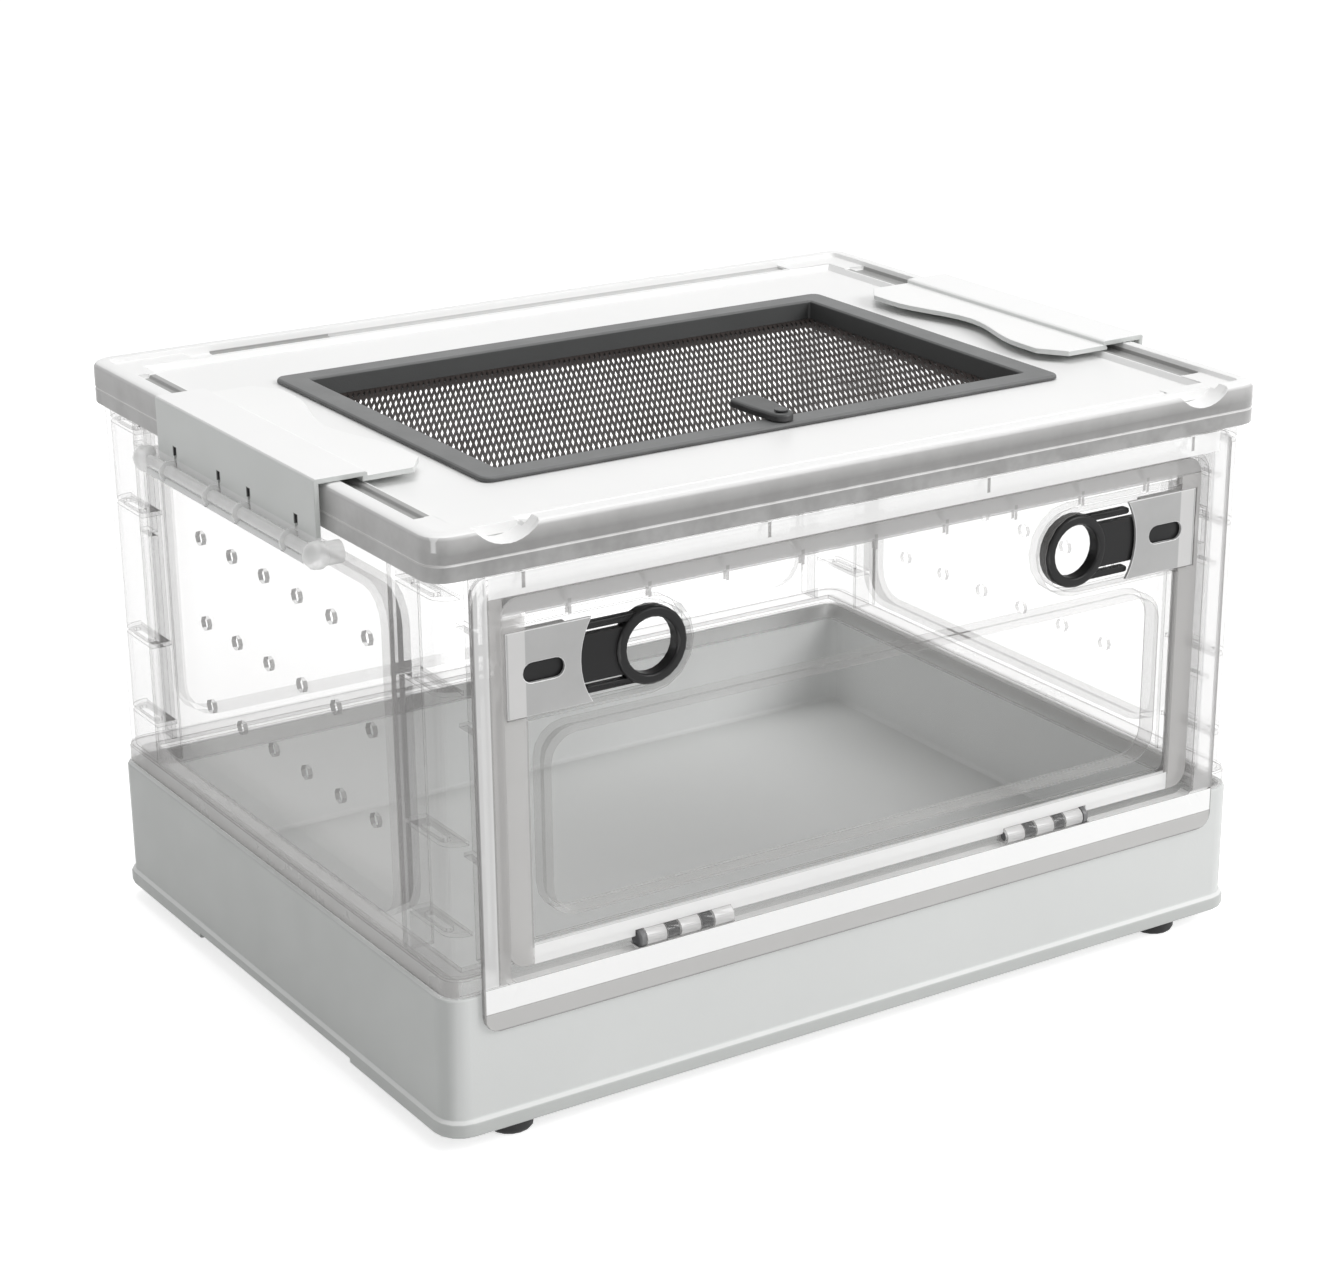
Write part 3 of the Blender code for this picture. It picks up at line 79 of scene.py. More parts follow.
def addSockets(group, direction, **kinds):
    for name, kind in kinds.items():
        group.interface.new_socket(name=name.replace("_", " "), in_out=direction,
                                   socket_type="NodeSocket" + kind)


def addNode(tree, kind, **settings):
    node = tree.nodes.new(kind)
    for name, value in settings.items():
        setattr(node, name, value)
    return node


def giveInputs(tree, node, values):
    # each value is a constant, or a socket to link
    for name, value in values.items():
        if isinstance(value, bpy.types.NodeSocket):
            tree.links.new(value, node.inputs[name])
        else:
            node.inputs[name].default_value = value


def noiseNode(tree, vector, scale, detail, roughness):
    node = addNode(tree, "ShaderNodeTexNoise")
    giveInputs(tree, node, {"Vector": vector, "Scale": scale, "Detail": detail,
                            "Roughness": roughness})
    return node.outputs["Fac"]


def remap(tree, value, low, high, outLow=0.0, outHigh=1.0):
    node = addNode(tree, "ShaderNodeMapRange")
    giveInputs(tree, node, {"Value": value, "From Min": low, "From Max": high,
                            "To Min": outLow, "To Max": outHigh})
    return node.outputs["Result"]


def maths(tree, operation, first, second=0.0):
    node = addNode(tree, "ShaderNodeMath", operation=operation)
    giveInputs(tree, node, {0: first, 1: second})
    return node.outputs["Value"]


def mixColours(tree, factor, first, second):
    node = addNode(tree, "ShaderNodeMix", data_type="RGBA")
    # the colour mode's factor, A and B, and below its result
    giveInputs(tree, node, {0: factor, 6: first, 7: second})
    return node.outputs[2]


def buildMouldedFinish():
    # tone that drifts over a moulding, handling marks in the gloss, and the tool's fine grain
    group = bpy.data.node_groups.new("mouldedFinish", "ShaderNodeTree")
    addSockets(group, "INPUT", Colour="Color", Drift="Float", Roughness="Float", Marks="Float",
               Grain_Scale="Float")
    addSockets(group, "OUTPUT", Colour="Color", Roughness="Float", Height="Float")
    given = addNode(group, "NodeGroupInput")
    made = addNode(group, "NodeGroupOutput")
    place = addNode(group, "ShaderNodeTexCoord").outputs["Object"]

    tone = noiseNode(group, place, **noiseSet["drift"])
    darkest = maths(group, "SUBTRACT", 1.0, given.outputs["Drift"])
    bright = remap(group, tone, *spanSet["drift"], darkest, 1.0)
    tint = addNode(group, "ShaderNodeVectorMath", operation="SCALE")
    group.links.new(given.outputs["Colour"], tint.inputs[0])
    group.links.new(bright, tint.inputs["Scale"])
    group.links.new(tint.outputs["Vector"], made.inputs["Colour"])

    smear = noiseNode(group, place, **noiseSet["marks"])
    marks = maths(group, "MULTIPLY", remap(group, smear, *spanSet["marks"]),
                  given.outputs["Marks"])
    group.links.new(maths(group, "ADD", given.outputs["Roughness"], marks),
                    made.inputs["Roughness"])

    grain = noiseNode(group, place, given.outputs["Grain Scale"], **noiseSet["grain"])
    group.links.new(grain, made.inputs["Height"])
    return group


def buildEdgeWearAndHighlight():
    # mask along edges that stand out, partly scuffs and partly a painted highlight, broken up so
    # that it comes and goes
    group = bpy.data.node_groups.new("edgeWearAndHighlight", "ShaderNodeTree")
    addSockets(group, "INPUT", Amount="Float")
    addSockets(group, "OUTPUT", Mask="Float")
    given = addNode(group, "NodeGroupInput")
    made = addNode(group, "NodeGroupOutput")
    place = addNode(group, "ShaderNodeTexCoord").outputs["Object"]
    shape = addNode(group, "ShaderNodeNewGeometry").outputs["Pointiness"]
    edge = remap(group, shape, *spanSet["wornAndLitEdge"])
    noise = noiseNode(group, place, **noiseSet["wearAndHighlight"])
    broken = remap(group, noise, *spanSet["wearAndHighlight"], leastWearAndHighlight, 1.0)
    mask = maths(group, "MULTIPLY", maths(group, "MULTIPLY", edge, broken),
                 given.outputs["Amount"])
    group.links.new(mask, made.inputs["Mask"])
    return group


def buildBoxMask():
    # 1 inside a box that is given by its middle and half its size, 0 outside
    group = bpy.data.node_groups.new("boxMask", "ShaderNodeTree")
    addSockets(group, "INPUT", Middle="Vector", Half="Vector")
    addSockets(group, "OUTPUT", Mask="Float")
    given = addNode(group, "NodeGroupInput")
    made = addNode(group, "NodeGroupOutput")
    place = addNode(group, "ShaderNodeTexCoord").outputs["Object"]
    for operation, other in (("SUBTRACT", given.outputs["Middle"]), ("ABSOLUTE", None),
                             ("SUBTRACT", given.outputs["Half"])):
        step = addNode(group, "ShaderNodeVectorMath", operation=operation)
        group.links.new(place, step.inputs[0])
        if other:
            group.links.new(other, step.inputs[1])
        place = step.outputs["Vector"]
    parts = addNode(group, "ShaderNodeSeparateXYZ")
    group.links.new(place, parts.inputs["Vector"])
    outside = maths(group, "MAXIMUM", parts.outputs["X"], parts.outputs["Y"])
    outside = maths(group, "MAXIMUM", outside, parts.outputs["Z"])
    group.links.new(remap(group, outside, -patchBlur, patchBlur, 1.0, 0.0),
                    made.inputs["Mask"])
    return group


mouldedFinish = buildMouldedFinish()
edgeWearAndHighlight = buildEdgeWearAndHighlight()
boxMask = buildBoxMask()


def useGroup(tree, group, **values):
    node = addNode(tree, "ShaderNodeGroup", node_tree=group)
    for name, value in values.items():
        node.inputs[name.replace("_", " ")].default_value = value
    return node


def newMaterial(name):
    material = bpy.data.materials.new(name)
    material.use_nodes = True
    return material, material.node_tree, material.node_tree.nodes["Principled BSDF"]


def setShader(shader, **values):
    for name, value in values.items():
        shader.inputs[name.replace("_", " ")].default_value = value


def splitCoordinate(tree, kind):
    parts = addNode(tree, "ShaderNodeSeparateXYZ")
    tree.links.new(addNode(tree, "ShaderNodeTexCoord").outputs[kind], parts.inputs["Vector"])
    return parts.outputs


def patchMask(tree, patch):
    low, high = (Vector(corner) * mm for corner in patch[:2])
    mask = useGroup(tree, boxMask, Middle=(low + high) / 2, Half=(high - low) / 2)
    return mask.outputs["Mask"]


def paintedLightByFacing(tree, look):
    # painted light and shade: a moulding's sides and top are painted in other tones than its
    # front, as light falls on them, and its patches, many of them painted light or shade, differ
    # from all three
    way = splitCoordinate(tree, "Normal")
    colour = (*look["colour"], 1)
    # painted light and shade: faces that look sideways get their own tone, lighter or darker as
    # light falls on them
    if "across" in look:
        sideways = maths(tree, "ABSOLUTE", way["X"])
        colour = mixColours(tree, remap(tree, sideways, *spanSet["across"]), colour,
                            (*look["across"], 1))
    if "litUpward" in look:
        # painted light: lighter towards the top
        low, high, paler = look["litUpward"]
        risen = remap(tree, splitCoordinate(tree, "Object")["Z"], low * mm, high * mm)
        colour = mixColours(tree, risen, colour, (*paler, 1))
    # painted light: faces that look up are painted lighter
    if "litTop" in look:
        upward = remap(tree, way["Z"], *look["turn"])
        colour = mixColours(tree, upward, colour, (*look["litTop"], 1))
    for patch in look.get("patches", []):
        colour = mixColours(tree, patchMask(tree, patch), colour, (*patch[2], 1))
    return colour


def addFinish(tree, shader, look, colour):
    finish = useGroup(tree, mouldedFinish, Drift=look["drift"], Roughness=look["roughness"],
                      Marks=look["marks"], Grain_Scale=look["grainScale"])
    giveInputs(tree, finish, {"Colour": colour})
    tree.links.new(finish.outputs["Roughness"], shader.inputs["Roughness"])
    bump = addNode(tree, "ShaderNodeBump")
    giveInputs(tree, bump, {"Strength": look["grain"], "Distance": grainDepth,
                            "Height": finish.outputs["Height"]})
    tree.links.new(bump.outputs["Normal"], shader.inputs["Normal"])
    return finish.outputs["Colour"]


def softenShadow(tree, shader, veil, share):
    # light gets through: only this share of the shadow is left
    shade = addNode(tree, "ShaderNodeLightPath").outputs["Is Shadow Ray"]
    tree.links.new(maths(tree, "MULTIPLY", remap(tree, shade, 0.0, 1.0, 1.0, share), veil),
                   shader.inputs["Alpha"])


def solidPlastic(name, look):
    material, tree, shader = newMaterial(name)
    colour = addFinish(tree, shader, look, paintedLightByFacing(tree, look))
    # edges painted lighter: partly scuffs, partly a painted highlight
    wearAndHighlight = useGroup(tree, edgeWearAndHighlight, Amount=look["wearAndHighlight"])
    colour = mixColours(tree, wearAndHighlight.outputs["Mask"], colour, (*look["wornAndLitColour"], 1))
    tree.links.new(colour, shader.inputs["Base Color"])
    setShader(shader, **look.get("shader", {}))
    if "shadow" in look:
        softenShadow(tree, shader, 1.0, look["shadow"])
    return material


def clearSheet(name, look):
    # thin clear moulding: see-through face on, greyer edge on; walls that stand out of it are
    # painted greyer, as shade, and most of its patches paint light or shade
    material, tree, shader = newMaterial(name)
    facing = addNode(tree, "ShaderNodeLayerWeight")
    facing.inputs["Blend"].default_value = 0.5
    steep = maths(tree, "POWER", facing.outputs["Facing"], look["steepness"])
    veil = remap(tree, steep, 0.0, 1.0, look["faceOn"], look["edgeOn"])
    colour = (*look["colour"], 1)
    # painted shade: walls that stand out of the sheet are painted greyer
    if "sheetAxis" in look:
        level = maths(tree, "ABSOLUTE", splitCoordinate(tree, "Normal")[look["sheetAxis"]])
        wall = remap(tree, level, *spanSet["wall"])
        colour = mixColours(tree, wall, colour, (*look["wallShadeColour"], 1))
        veil = maths(tree, "MAXIMUM", veil, maths(tree, "MULTIPLY", wall, look["wallDense"]))
    for patch in look.get("patches", []):
        mask = patchMask(tree, patch)
        if len(patch) > 4:
            # only faces that look this way
            turned = addNode(tree, "ShaderNodeVectorMath", operation="DOT_PRODUCT")
            tree.links.new(addNode(tree, "ShaderNodeTexCoord").outputs["Normal"],
                           turned.inputs[0])
            turned.inputs[1].default_value = patch[4]
            mask = maths(tree, "MULTIPLY", mask,
                         remap(tree, turned.outputs["Value"], *spanSet["patch"]))
        colour = mixColours(tree, mask, colour, (*patch[2], 1))
        veil = maths(tree, "MAXIMUM", veil, maths(tree, "MULTIPLY", mask, patch[3]))
    tree.links.new(addFinish(tree, shader, look, colour), shader.inputs["Base Color"])
    softenShadow(tree, shader, veil, clearShadow)
    setShader(shader, **look.get("shader", {}))
    return material


# Looks. A patch is a box: lowest and highest corner in millimetres, colour, and on clear
# pieces how dense it is and, if it holds only for faces that look one way, that direction

trayLook = {
    # painted shade: the sides are painted darker than the front
    "colour": (0.722, 0.735, 0.726), "across": (0.592, 0.608, 0.595), "drift": 0.035,
    "roughness": 0.42, "marks": 0.10, "grain": 0.25, "grainScale": 1500.0,
    "wearAndHighlight": 0.12, "wornAndLitColour": (0.78, 0.79, 0.78),
    # painted light and shade: the inside is painted lighter, kept clear of the rounded corners,
    # then the band at the lip is painted darker, as shade, and the line over it is painted as a
    # highlight
    "patches": [*[((-halfWidth, -halfDepth, 12), (halfWidth, halfDepth, 72), (0.90, 0.91, 0.905))
                  for halfWidth, halfDepth in ((208, 154), (205.8, 156.8), (203, 159.5))],
                ((-214, -166, 7), (214, 166, 14.4), (0.56, 0.575, 0.563)),
                ((-213, -164, 14.4), (213, 164, 15.6), (0.86, 0.87, 0.86))],
}
footLook = {
    "colour": (0.012, 0.012, 0.013), "drift": 0.3, "roughness": 0.55, "marks": 0.15,
    "grain": 0.4, "grainScale": 900.0, "wearAndHighlight": 0.6, "wornAndLitColour": (0.05, 0.05, 0.05),
}
lidLook = {
    # painted light and shade: the front, the sides and the top get their own tones as light
    # falls on them, the top near white, and the skirt is painted lighter towards the top
    "colour": (0.258, 0.255, 0.251), "across": (0.44, 0.436, 0.43), "drift": 0.03,
    "litTop": (0.92, 0.92, 0.915), "turn": (0.15, 0.85), "roughness": 0.34, "marks": 0.10,
    "grain": 0.12, "grainScale": 1500.0, "wearAndHighlight": 0.5, "wornAndLitColour": (0.93, 0.93, 0.93),
    "shadow": 0.15, "litUpward": (256.5, 265.5, (0.56, 0.555, 0.55)),
    # patches: the deck painted white, as light; painted shade in the side, back and front
    # grooves and in the front groove's slots; then a lighter line along the seam
    "patches": [((-207.6, -161, 258), (207.6, 161, 266), (0.92, 0.92, 0.915)),
                ((-204.5, -129, 260), (-191.5, 129, 262.4), (0.36, 0.36, 0.355)),
                ((191.5, -129, 260), (204.5, 129, 262.4), (0.36, 0.36, 0.355)),
                ((-153, 150, 260), (-92, 155.8, 261.6), (0.36, 0.36, 0.355)),
                ((-92, 150, 260), (173, 155.8, 261.6), (0.60, 0.60, 0.595)),
                ((-166, -155.8, 260), (166, -150, 261.6), (0.74, 0.74, 0.735)),
                ((-88, -155.6, 260), (-67, -153.6, 261.2), (0.22, 0.22, 0.22)),
                ((76, -155.6, 260), (104, -153.6, 261.2), (0.22, 0.22, 0.22)),
                ((-210.4, -163.9, 252.2), (210.4, 163.9, 253.0), (0.62, 0.61, 0.60))],
}
clampLook = {
    # painted light: the tops are painted near white and the flanges lighter than the ends, as
    # light falls on them
    "colour": (0.58, 0.60, 0.585), "across": (0.72, 0.74, 0.725), "drift": 0.03,
    "litTop": (0.95, 0.95, 0.945), "turn": (0.3, 0.9), "roughness": 0.40, "marks": 0.10,
    "grain": 0.2, "grainScale": 1500.0, "wearAndHighlight": 0.6, "wornAndLitColour": (0.92, 0.92, 0.92),
    # painted light: the hook behind each clear rod is painted nearly white, so that the rod
    # looks bright
    "patches": [((-228, -80, 230), (-212.6, 80, 243), (0.88, 0.885, 0.88)),
                ((212.6, -80, 230), (228, 80, 243), (0.88, 0.885, 0.88)),
                # the tops of the slits are in shade
                *[((-230, middle - 1.8, 244.4), (230, middle + 1.8, 248.7), (0.03, 0.03, 0.03))
                  for middle in (-58.5, -14.5, 14.5, 58.5)]],
}
ventLook = {
    # painted light: the frame's top is painted lighter than its walls
    "colour": (0.062, 0.064, 0.064), "litTop": (0.155, 0.158, 0.158), "turn": (0.3, 0.8),
    "drift": 0.12, "roughness": 0.42, "marks": 0.12,
    "grain": 0.35, "grainScale": 1300.0, "wearAndHighlight": 0.6, "wornAndLitColour": (0.26, 0.26, 0.26),
}
tabLook = {
    # painted light: the tab's top is painted lighter than its sides
    "colour": (0.020, 0.020, 0.021), "litTop": (0.060, 0.062, 0.062), "turn": (0.3, 0.8),
    "drift": 0.12, "roughness": 0.38, "marks": 0.12,
    "grain": 0.35, "grainScale": 1300.0, "wearAndHighlight": 0.6, "wornAndLitColour": (0.20, 0.20, 0.20),
}
netLook = {
    "colour": (0.016, 0.012, 0.011), "drift": 0.3, "roughness": 0.45, "marks": 0.15,
    "grain": 0.2, "grainScale": 1300.0, "wearAndHighlight": 0.4, "wornAndLitColour": (0.07, 0.055, 0.05),
    "shader": {"Specular_IOR_Level": 0.15},
}
latchLook = {
    "colour": (0.012, 0.012, 0.0125), "drift": 0.2, "roughness": 0.32, "marks": 0.15,
    "grain": 0.2, "grainScale": 1300.0, "wearAndHighlight": 0.7, "wornAndLitColour": (0.10, 0.10, 0.10),
    "shader": {"Specular_IOR_Level": 0.22},
}
coverLook = {
    "colour": (0.45, 0.45, 0.447), "drift": 0.06, "roughness": 0.42, "marks": 0.12,
    "grain": 0.15, "grainScale": 1300.0, "wearAndHighlight": 0.3, "wornAndLitColour": (0.85, 0.85, 0.85),
    "shader": {"Specular_IOR_Level": 0.35},
    # painted light: the plate's outer end is painted lighter, where the door's clear rim lies in
    # front of it
    "patches": [((-176, -170, 150), (-168.3, -150, 240), (0.66, 0.655, 0.65)),
                ((168.3, -170, 150), (176, -150, 240), (0.66, 0.655, 0.65))],
}
# painted highlight: the cover plate's rounded edges are painted near white
coverEdgeHighlightLook = {
    "colour": (0.88, 0.88, 0.88), "drift": 0.08, "roughness": 0.25, "marks": 0.12,
    "grain": 0.15, "grainScale": 1300.0, "wearAndHighlight": 0.3, "wornAndLitColour": (0.95, 0.95, 0.95),
}
pinLook = {
    "colour": (0.10, 0.10, 0.105), "drift": 0.2, "roughness": 0.35, "marks": 0.15,
    "grain": 0.3, "grainScale": 1100.0, "wearAndHighlight": 0.7, "wornAndLitColour": (0.3, 0.3, 0.3),
}
sheetLook = {
    "colour": (0.80, 0.785, 0.775), "drift": 0.04, "roughness": 0.12, "marks": 0.08,
    "grain": 0.05, "grainScale": 900.0, "faceOn": 0.02, "edgeOn": 0.70, "steepness": 3.2,
    # the wall tone is painted shade
    "sheetAxis": "Y", "wallShadeColour": (0.68, 0.67, 0.66), "wallDense": 0.22,
}
sideLook = {
    "colour": (0.86, 0.845, 0.835), "drift": 0.04, "roughness": 0.12, "marks": 0.08,
    "grain": 0.05, "grainScale": 900.0, "faceOn": 0.12, "edgeOn": 0.52, "steepness": 3.0,
    # the wall tone is painted shade
    "sheetAxis": "X", "wallShadeColour": (0.55, 0.54, 0.535), "wallDense": 0.22,
    # painted shade: the far wall of each air hole is painted grey, darker on the left side, and
    # shows as a crescent
    "patches": [((-210, -95, 98), (-190, 95, 232), (0.42, 0.415, 0.41), 0.85, (0, -1, 0)),
                ((190, -95, 98), (210, 95, 232), (0.60, 0.595, 0.59), 0.60, (0, -1, 0))],
}
# painted shade: the rounded edges of the door, frame, ring and posts are painted grey, as dark
# outlines
rimLook = {
    "colour": (0.46, 0.45, 0.445), "drift": 0.06, "roughness": 0.20, "marks": 0.10,
    "grain": 0.05, "grainScale": 900.0, "faceOn": 0.55, "edgeOn": 0.75, "steepness": 1.0,
}
# patch tones and densities for clear pieces: barrels painted lighter, as light; rims, gussets,
# edge lines and inner rim walls painted grey, as shade; lugs darker
barrelLitLook = (0.85, 0.845, 0.84), 0.62
rimShadeTone = (0.62, 0.61, 0.60)
gussetShadeLook = (0.32, 0.315, 0.31), 0.70
shadeLineLook = (0.36, 0.355, 0.35), 0.75
innerRimShadeLook = (0.36, 0.355, 0.35), 0.70
lugLook = (0.13, 0.13, 0.13), 0.75
doorLook = {
    **sheetLook,
    # painted light and shade: the bottom band is painted white, as light; the top rim band, side
    # rims, edge lines, inner rim walls and gussets are painted grey, as shade; the barrels are
    # painted lighter, as light
    "patches": [((-168, -165, 76), (168, -150, 85), (1.0, 1.0, 0.995), 0.70),
                ((-180, -165, 227), (180, -150, 235), (0.44, 0.435, 0.43), 0.75),
                ((-180, -165, 76), (-168.3, -150, 226.5), rimShadeTone, 0.55),
                ((168.3, -165, 76), (180, -150, 226.5), rimShadeTone, 0.55),
                ((-168, -165, 226.2), (168, -150, 227), *shadeLineLook),
                ((-168.8, -165, 84), (-168, -150, 182), *shadeLineLook),
                ((168, -165, 84), (168.8, -150, 182), *shadeLineLook),
                ((-182, -165, 76), (-171, -140, 235), *innerRimShadeLook, (1, 0, 0)),
                ((171, -165, 76), (182, -140, 235), *innerRimShadeLook, (-1, 0, 0)),
                *[((37 * place - 0.8, -165, 222.5), (37 * place + 0.8, -150, 229), *gussetShadeLook)
                  for place in range(-4, 5)],
                *[((side - 4.9, -163.7, 70.7), (side + 4.9, -155, 79.3), *barrelLitLook)
                  for side in (-111.3, -94.6, -77.9, 77.9, 94.6, 111.3)]],
}
frameLook = {
    **sheetLook, "wallDense": 0.15,
    # painted light and shade: the band over the foot and the strips round the door are painted
    # white, as light; the grey band beside the door's rim, the edge lines and the gussets are
    # painted as shade; the foot band is greyer and the lugs darker
    "patches": [((-200, -170, 52), (200, -155, 61.4), (0.63, 0.625, 0.615), 0.80),
                ((-200, -170, 61.6), (200, -155, 72.4), (1.0, 1.0, 0.995), 1.0),
                ((-193, -165, 73), (-186.5, -162, 246), (1.0, 1.0, 0.995), 0.60),
                ((-186, -165, 73), (-180, -150, 236), rimShadeTone, 0.50),
                ((182, -165, 73), (194, -162, 246), (0.95, 0.945, 0.94), 0.30),
                ((-186, -165, 236), (186, -162, 246), (1.0, 1.0, 0.995), 0.80),
                ((-194, -170, 50), (-192.8, -150, 246), *shadeLineLook),
                ((192.8, -170, 50), (194, -150, 246), *shadeLineLook),
                ((-186.6, -165, 73), (-186, -150, 236), *shadeLineLook),
                ((-194, -170, 50), (194, -150, 53.7), *shadeLineLook),
                *[((place - 0.8, -165, 238.5), (place + 0.8, -150, 245), *gussetShadeLook)
                  for place in (-170.3, -56, 56, 170.3)],
                *[((side - 3.1, -163.4, 72.7), (side + 3.1, -155.2, 79.2), *lugLook)
                  for side in (-102.95, -86.25, 86.25, 102.95)]],
}
# painted shade: the ring's outward and upward faces are painted grey
ringOuterShade = (0.62, 0.61, 0.60), 0.65
ringTopShade = (0.72, 0.71, 0.70), 0.20
ringLook = {
    "patches": [((-210, -165, 60), (-190, 165, 80), *ringTopShade, (0, 0, 1)),
                ((190, -165, 60), (210, 165, 80), *ringTopShade, (0, 0, 1)),
                ((-210, -165, 60), (-200, 165, 80), *ringOuterShade, (-1, 0, 0)),
                ((200, -165, 60), (210, 165, 80), *ringOuterShade, (1, 0, 0))],
    "colour": (0.95, 0.945, 0.94), "drift": 0.06, "roughness": 0.25, "marks": 0.15,
    "grain": 0.3, "grainScale": 900.0, "faceOn": 0.16, "edgeOn": 0.55, "steepness": 2.0,
}
postLook = {
    "colour": (0.93, 0.92, 0.91), "drift": 0.06, "roughness": 0.15, "marks": 0.10,
    "grain": 0.05, "grainScale": 900.0, "faceOn": 0.04, "edgeOn": 0.42, "steepness": 2.5,
    # the wall tone is painted shade
    "sheetAxis": "Y", "wallShadeColour": (0.60, 0.59, 0.585), "wallDense": 0.18,
}
rodLook = {
    "colour": (0.98, 0.98, 0.975), "drift": 0.04, "roughness": 0.08, "marks": 0.06,
    "grain": 0.05, "grainScale": 900.0, "faceOn": 0.40, "edgeOn": 0.85, "steepness": 1.6,
    "shader": {"Specular_IOR_Level": 1.0},
}

trayPlastic = solidPlastic("trayPlastic", trayLook)
footRubber = solidPlastic("footRubber", footLook)
lidPlastic = solidPlastic("lidPlastic", lidLook)
clampPlastic = solidPlastic("clampPlastic", clampLook)
ventPlastic = solidPlastic("ventPlastic", ventLook)
tabPlastic = solidPlastic("tabPlastic", tabLook)
netPlastic = solidPlastic("netPlastic", netLook)
latchPlastic = solidPlastic("latchPlastic", latchLook)
coverPlastic = solidPlastic("coverPlastic", coverLook)
coverEdgeHighlight = solidPlastic("coverEdgeHighlight", coverEdgeHighlightLook)
pinSteel = solidPlastic("pinSteel", pinLook)
clearWall = clearSheet("clearWall", sheetLook)
clearSide = clearSheet("clearSide", sideLook)
clearDoor = clearSheet("clearDoor", doorLook)
clearRim = clearSheet("clearRim", rimLook)
clearFrame = clearSheet("clearFrame", frameLook)
clearRing = clearSheet("clearRing", ringLook)
clearPost = clearSheet("clearPost", postLook)
clearRod = clearSheet("clearRod", rodLook)
print("materials made")


# Mouldings: each starts as a merged copy of its solid, and gets rounded edges

edgeSet = {
    "sharp": radians(32), "segments": 2,
    # the wider weld goes with the wider roundings, and keeps their pierced faces whole
    "weld": 0.02 * mm, "wideWeld": 0.3 * mm, "wideFrom": 0.2 * mm,
}


def roundedPiece(node, slotName, material, rounding, rim):
    source = cadNodes[node]
    shape = bmesh.new()
    shape.from_mesh(source.data)
    weld = edgeSet["wideWeld"] if rounding > edgeSet["wideFrom"] else edgeSet["weld"]
    bmesh.ops.remove_doubles(shape, verts=shape.verts, dist=weld)
    mesh = bpy.data.meshes.new(node + "Moulding")
    shape.to_mesh(mesh)
    shape.free()
    mesh.set_sharp_from_angle(angle=edgeSet["sharp"])
    for face in mesh.polygons:
        face.use_smooth = True
    mesh.materials.append(material)
    if rim:
        mesh.materials.append(rim)
    piece = bpy.data.objects.new(node + "Moulding", mesh)
    bpy.context.scene.collection.objects.link(piece)
    bevel = piece.modifiers.new("roundedEdges", "BEVEL")
    bevel.width = rounding
    bevel.segments = edgeSet["segments"]
    bevel.limit_method = "ANGLE"
    bevel.angle_limit = edgeSet["sharp"]
    bevel.use_clamp_overlap = False
    bevel.material = 1 if rim else -1
    even = piece.modifiers.new("evenShading", "WEIGHTED_NORMAL")
    even.keep_sharp = True
    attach(piece, bodyOf[node])
    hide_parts(node)


mouldings = {
    # node: slot, finish, edge rounding, finish of the rounded edges
    "base_tray": ("tray_plastic", trayPlastic, 0.5 * mm, None),
    "seat_ring": ("clear_plastic", clearRing, 0.3 * mm, clearRim),
    "front_frame": ("clear_plastic", clearFrame, 0.25 * mm, clearRim),
    "left_panel": ("clear_plastic", clearSide, 0.12 * mm, None),
    "right_panel": ("clear_plastic", clearSide, 0.12 * mm, None),
    "back_panel": ("clear_plastic", clearWall, 0.12 * mm, None),
    "left_clamp_rod": ("clear_plastic", clearRod, 0.2 * mm, None),
    "right_clamp_rod": ("clear_plastic", clearRod, 0.2 * mm, None),
    "left_clamp": ("clamp_plastic", clampPlastic, 0.4 * mm, None),
    "right_clamp": ("clamp_plastic", clampPlastic, 0.4 * mm, None),
    "lid": ("lid_plastic", lidPlastic, 0.3 * mm, None),
    "vent_frame": ("dark_plastic", ventPlastic, 0.3 * mm, None),
    "turn_tab": ("dark_plastic", tabPlastic, 0.5 * mm, None),
    "tab_pivot": ("dark_plastic", tabPlastic, 0.2 * mm, None),
    "front_door": ("clear_plastic", clearDoor, 0.2 * mm, clearRim),
    "left_latch_cover": ("cover_plastic", coverPlastic, 0.3 * mm, coverEdgeHighlight),
    "right_latch_cover": ("cover_plastic", coverPlastic, 0.3 * mm, coverEdgeHighlight),
    "left_latch_slider": ("black_plastic", latchPlastic, 0.4 * mm, None),
    "right_latch_slider": ("black_plastic", latchPlastic, 0.4 * mm, None),
    "left_hinge_pin": ("pin_metal", pinSteel, 0.2 * mm, None),
    "right_hinge_pin": ("pin_metal", pinSteel, 0.2 * mm, None),
}
for corner in ("front_left", "front_right", "back_left", "back_right"):
    mouldings["foot_" + corner] = ("foot_rubber", footRubber, 0.5 * mm, None)
    mouldings["post_" + corner] = ("clear_plastic", clearPost, 0.2 * mm, clearRim)
for node, settings in mouldings.items():
    roundedPiece(node, *settings)
print("mouldings made")


# Net: a fine diamond mesh that fills the vent frame's well

netSet = {
    "pitch": 2.76 * mm, "length": 21.7 * mm, "lean": 0.547, "strand": 0.67 * mm,
    "thick": 0.35 * mm, "trim": 0.01 * mm,
}


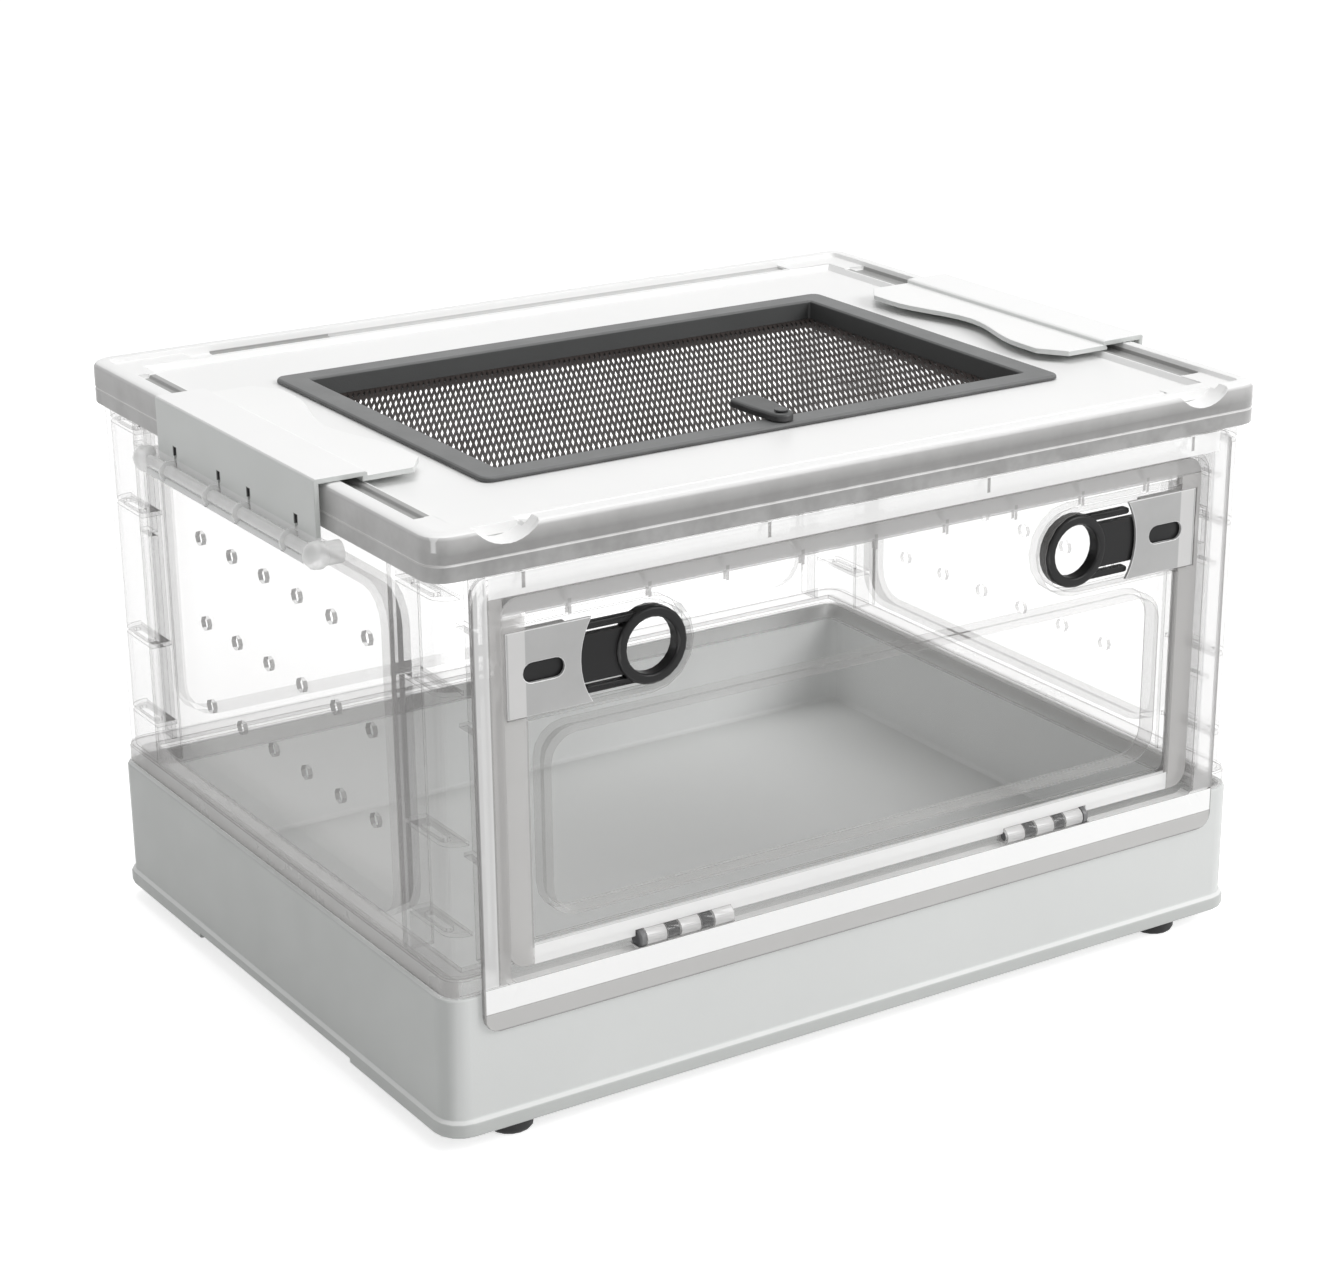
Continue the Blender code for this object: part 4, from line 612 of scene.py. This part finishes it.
def makeNet():
    low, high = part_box("vent_net")
    middle = (low + high) / 2
    size = high - low
    across = round((size.x + netSet["lean"] * size.y) / netSet["pitch"]) + 2
    along = round(size.y / netSet["length"]) + 2
    shape = bmesh.new()
    bmesh.ops.create_grid(shape, x_segments=across, y_segments=along, size=0.5)
    bmesh.ops.scale(shape, verts=shape.verts,
                    vec=(across * netSet["pitch"], along * netSet["length"], 1))
    oldEdges = [edge for edge in shape.edges if not edge.is_boundary]
    bmesh.ops.poke(shape, faces=shape.faces[:])
    bmesh.ops.dissolve_edges(shape, edges=oldEdges)     # leaves a diamond over each old edge
    diamonds = shape.faces[:]
    bmesh.ops.inset_individual(shape, faces=diamonds, thickness=netSet["strand"],
                               use_even_offset=True)
    bmesh.ops.delete(shape, geom=diamonds, context="FACES_ONLY")
    loose = [edge for edge in shape.edges if not edge.link_faces]
    bmesh.ops.delete(shape, geom=loose, context="EDGES")
    # the diamonds lean; the net is then trimmed to the frame's well
    lean = Matrix.Identity(4)
    lean[0][1] = netSet["lean"]
    bmesh.ops.transform(shape, verts=shape.verts, matrix=lean)
    for axis in (Vector((1, 0, 0)), Vector((0, 1, 0))):
        for side in (-1, 1):
            edge = side * axis * axis.dot(size) / 2
            bmesh.ops.bisect_plane(shape, geom=shape.verts[:] + shape.edges[:] + shape.faces[:],
                                   dist=netSet["trim"], plane_co=edge, plane_no=side * axis,
                                   clear_outer=True)
    bmesh.ops.solidify(shape, geom=shape.faces[:], thickness=netSet["thick"])
    bmesh.ops.recalc_face_normals(shape, faces=shape.faces[:])
    lowest = min(vertex.co.z for vertex in shape.verts)
    bmesh.ops.translate(shape, verts=shape.verts, vec=(middle.x, middle.y, middle.z - lowest))
    mesh = bpy.data.meshes.new("ventMesh")
    shape.to_mesh(mesh)
    shape.free()
    mesh.materials.append(netPlastic)
    net = bpy.data.objects.new("ventMesh", mesh)
    bpy.context.scene.collection.objects.link(net)
    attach(net, bodyOf["vent_net"])
    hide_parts("vent_net")
    print("net made,", len(mesh.polygons), "faces")


makeNet()


# Studio: camera, floor, lamps and a white surround

cameraSet = {
    "lens": 82.643, "sensor": 36, "shift": (-0.0747, 0.0853), "clip": (0.05, 50),
    "place": (-0.7263, -1.1456, 0.6163), "turn": 34.381, "tilt": 21.656, "roll": 0.191,
}
floorSet = {"size": 12.0, "colour": (0.80, 0.80, 0.80), "roughness": 0.9, "glow": 0.68}
surroundSet = {"light": 0.44, "seen": 1.0}
lampAim = Vector((0, 0, 0.13))
lampSet = {
    # name: place, size across, watts
    "keyLamp": ((1.6, -2.2, 1.8), 1.6, 48.0),
    "topLamp": ((0.2, 0.3, 2.6), 2.0, 22.0),
}


def makeCamera():
    data = bpy.data.cameras.new("camera")
    data.lens = cameraSet["lens"]
    data.sensor_width = cameraSet["sensor"]
    data.sensor_fit = "HORIZONTAL"
    data.shift_x, data.shift_y = cameraSet["shift"]
    data.clip_start, data.clip_end = cameraSet["clip"]
    camera = bpy.data.objects.new("camera", data)
    camera.location = cameraSet["place"]
    turn = (Matrix.Rotation(-radians(cameraSet["turn"]), 4, "Z")
            @ Matrix.Rotation(radians(90 - cameraSet["tilt"]), 4, "X")
            @ Matrix.Rotation(radians(cameraSet["roll"]), 4, "Z"))
    camera.rotation_euler = turn.to_euler()
    bpy.context.scene.collection.objects.link(camera)
    bpy.context.scene.camera = camera


def seenRays(tree):
    # 1 for rays from the camera, and for what gloss and clear plastic show
    path = addNode(tree, "ShaderNodeLightPath")
    seen = maths(tree, "MAXIMUM", path.outputs["Is Camera Ray"], path.outputs["Is Glossy Ray"])
    return maths(tree, "MAXIMUM", seen, path.outputs["Is Transmission Ray"])


def makeFloor():
    shape = bmesh.new()
    bmesh.ops.create_grid(shape, x_segments=1, y_segments=1, size=floorSet["size"] / 2)
    mesh = bpy.data.meshes.new("floor")
    shape.to_mesh(mesh)
    shape.free()
    floor = bpy.data.objects.new("floor", mesh)
    bpy.context.scene.collection.objects.link(floor)
    material, tree, shader = newMaterial("paleFloor")
    setShader(shader, Base_Color=(*floorSet["colour"], 1), Roughness=floorSet["roughness"],
              Specular_IOR_Level=0.0, Emission_Color=(1, 1, 1, 1))
    tree.links.new(maths(tree, "MULTIPLY", seenRays(tree), floorSet["glow"]),
                   shader.inputs["Emission Strength"])
    mesh.materials.append(material)


def makeSurround():
    world = bpy.data.worlds.new("surround")
    bpy.context.scene.world = world
    world.use_nodes = True
    tree = world.node_tree
    background = tree.nodes["Background"]
    background.inputs["Color"].default_value = (1, 1, 1, 1)
    strength = remap(tree, seenRays(tree), 0.0, 1.0, surroundSet["light"], surroundSet["seen"])
    tree.links.new(strength, background.inputs["Strength"])


def makeLamps():
    for name, (place, across, watts) in lampSet.items():
        data = bpy.data.lights.new(name, "AREA")
        data.shape = "DISK"
        data.size = across
        data.energy = watts
        lamp = bpy.data.objects.new(name, data)
        lamp.location = place
        lamp.rotation_euler = (lampAim - Vector(place)).to_track_quat("-Z", "Y").to_euler()
        bpy.context.scene.collection.objects.link(lamp)


makeCamera()
makeFloor()
makeSurround()
makeLamps()
bpy.context.scene.view_settings.view_transform = "Standard"
print("studio made")
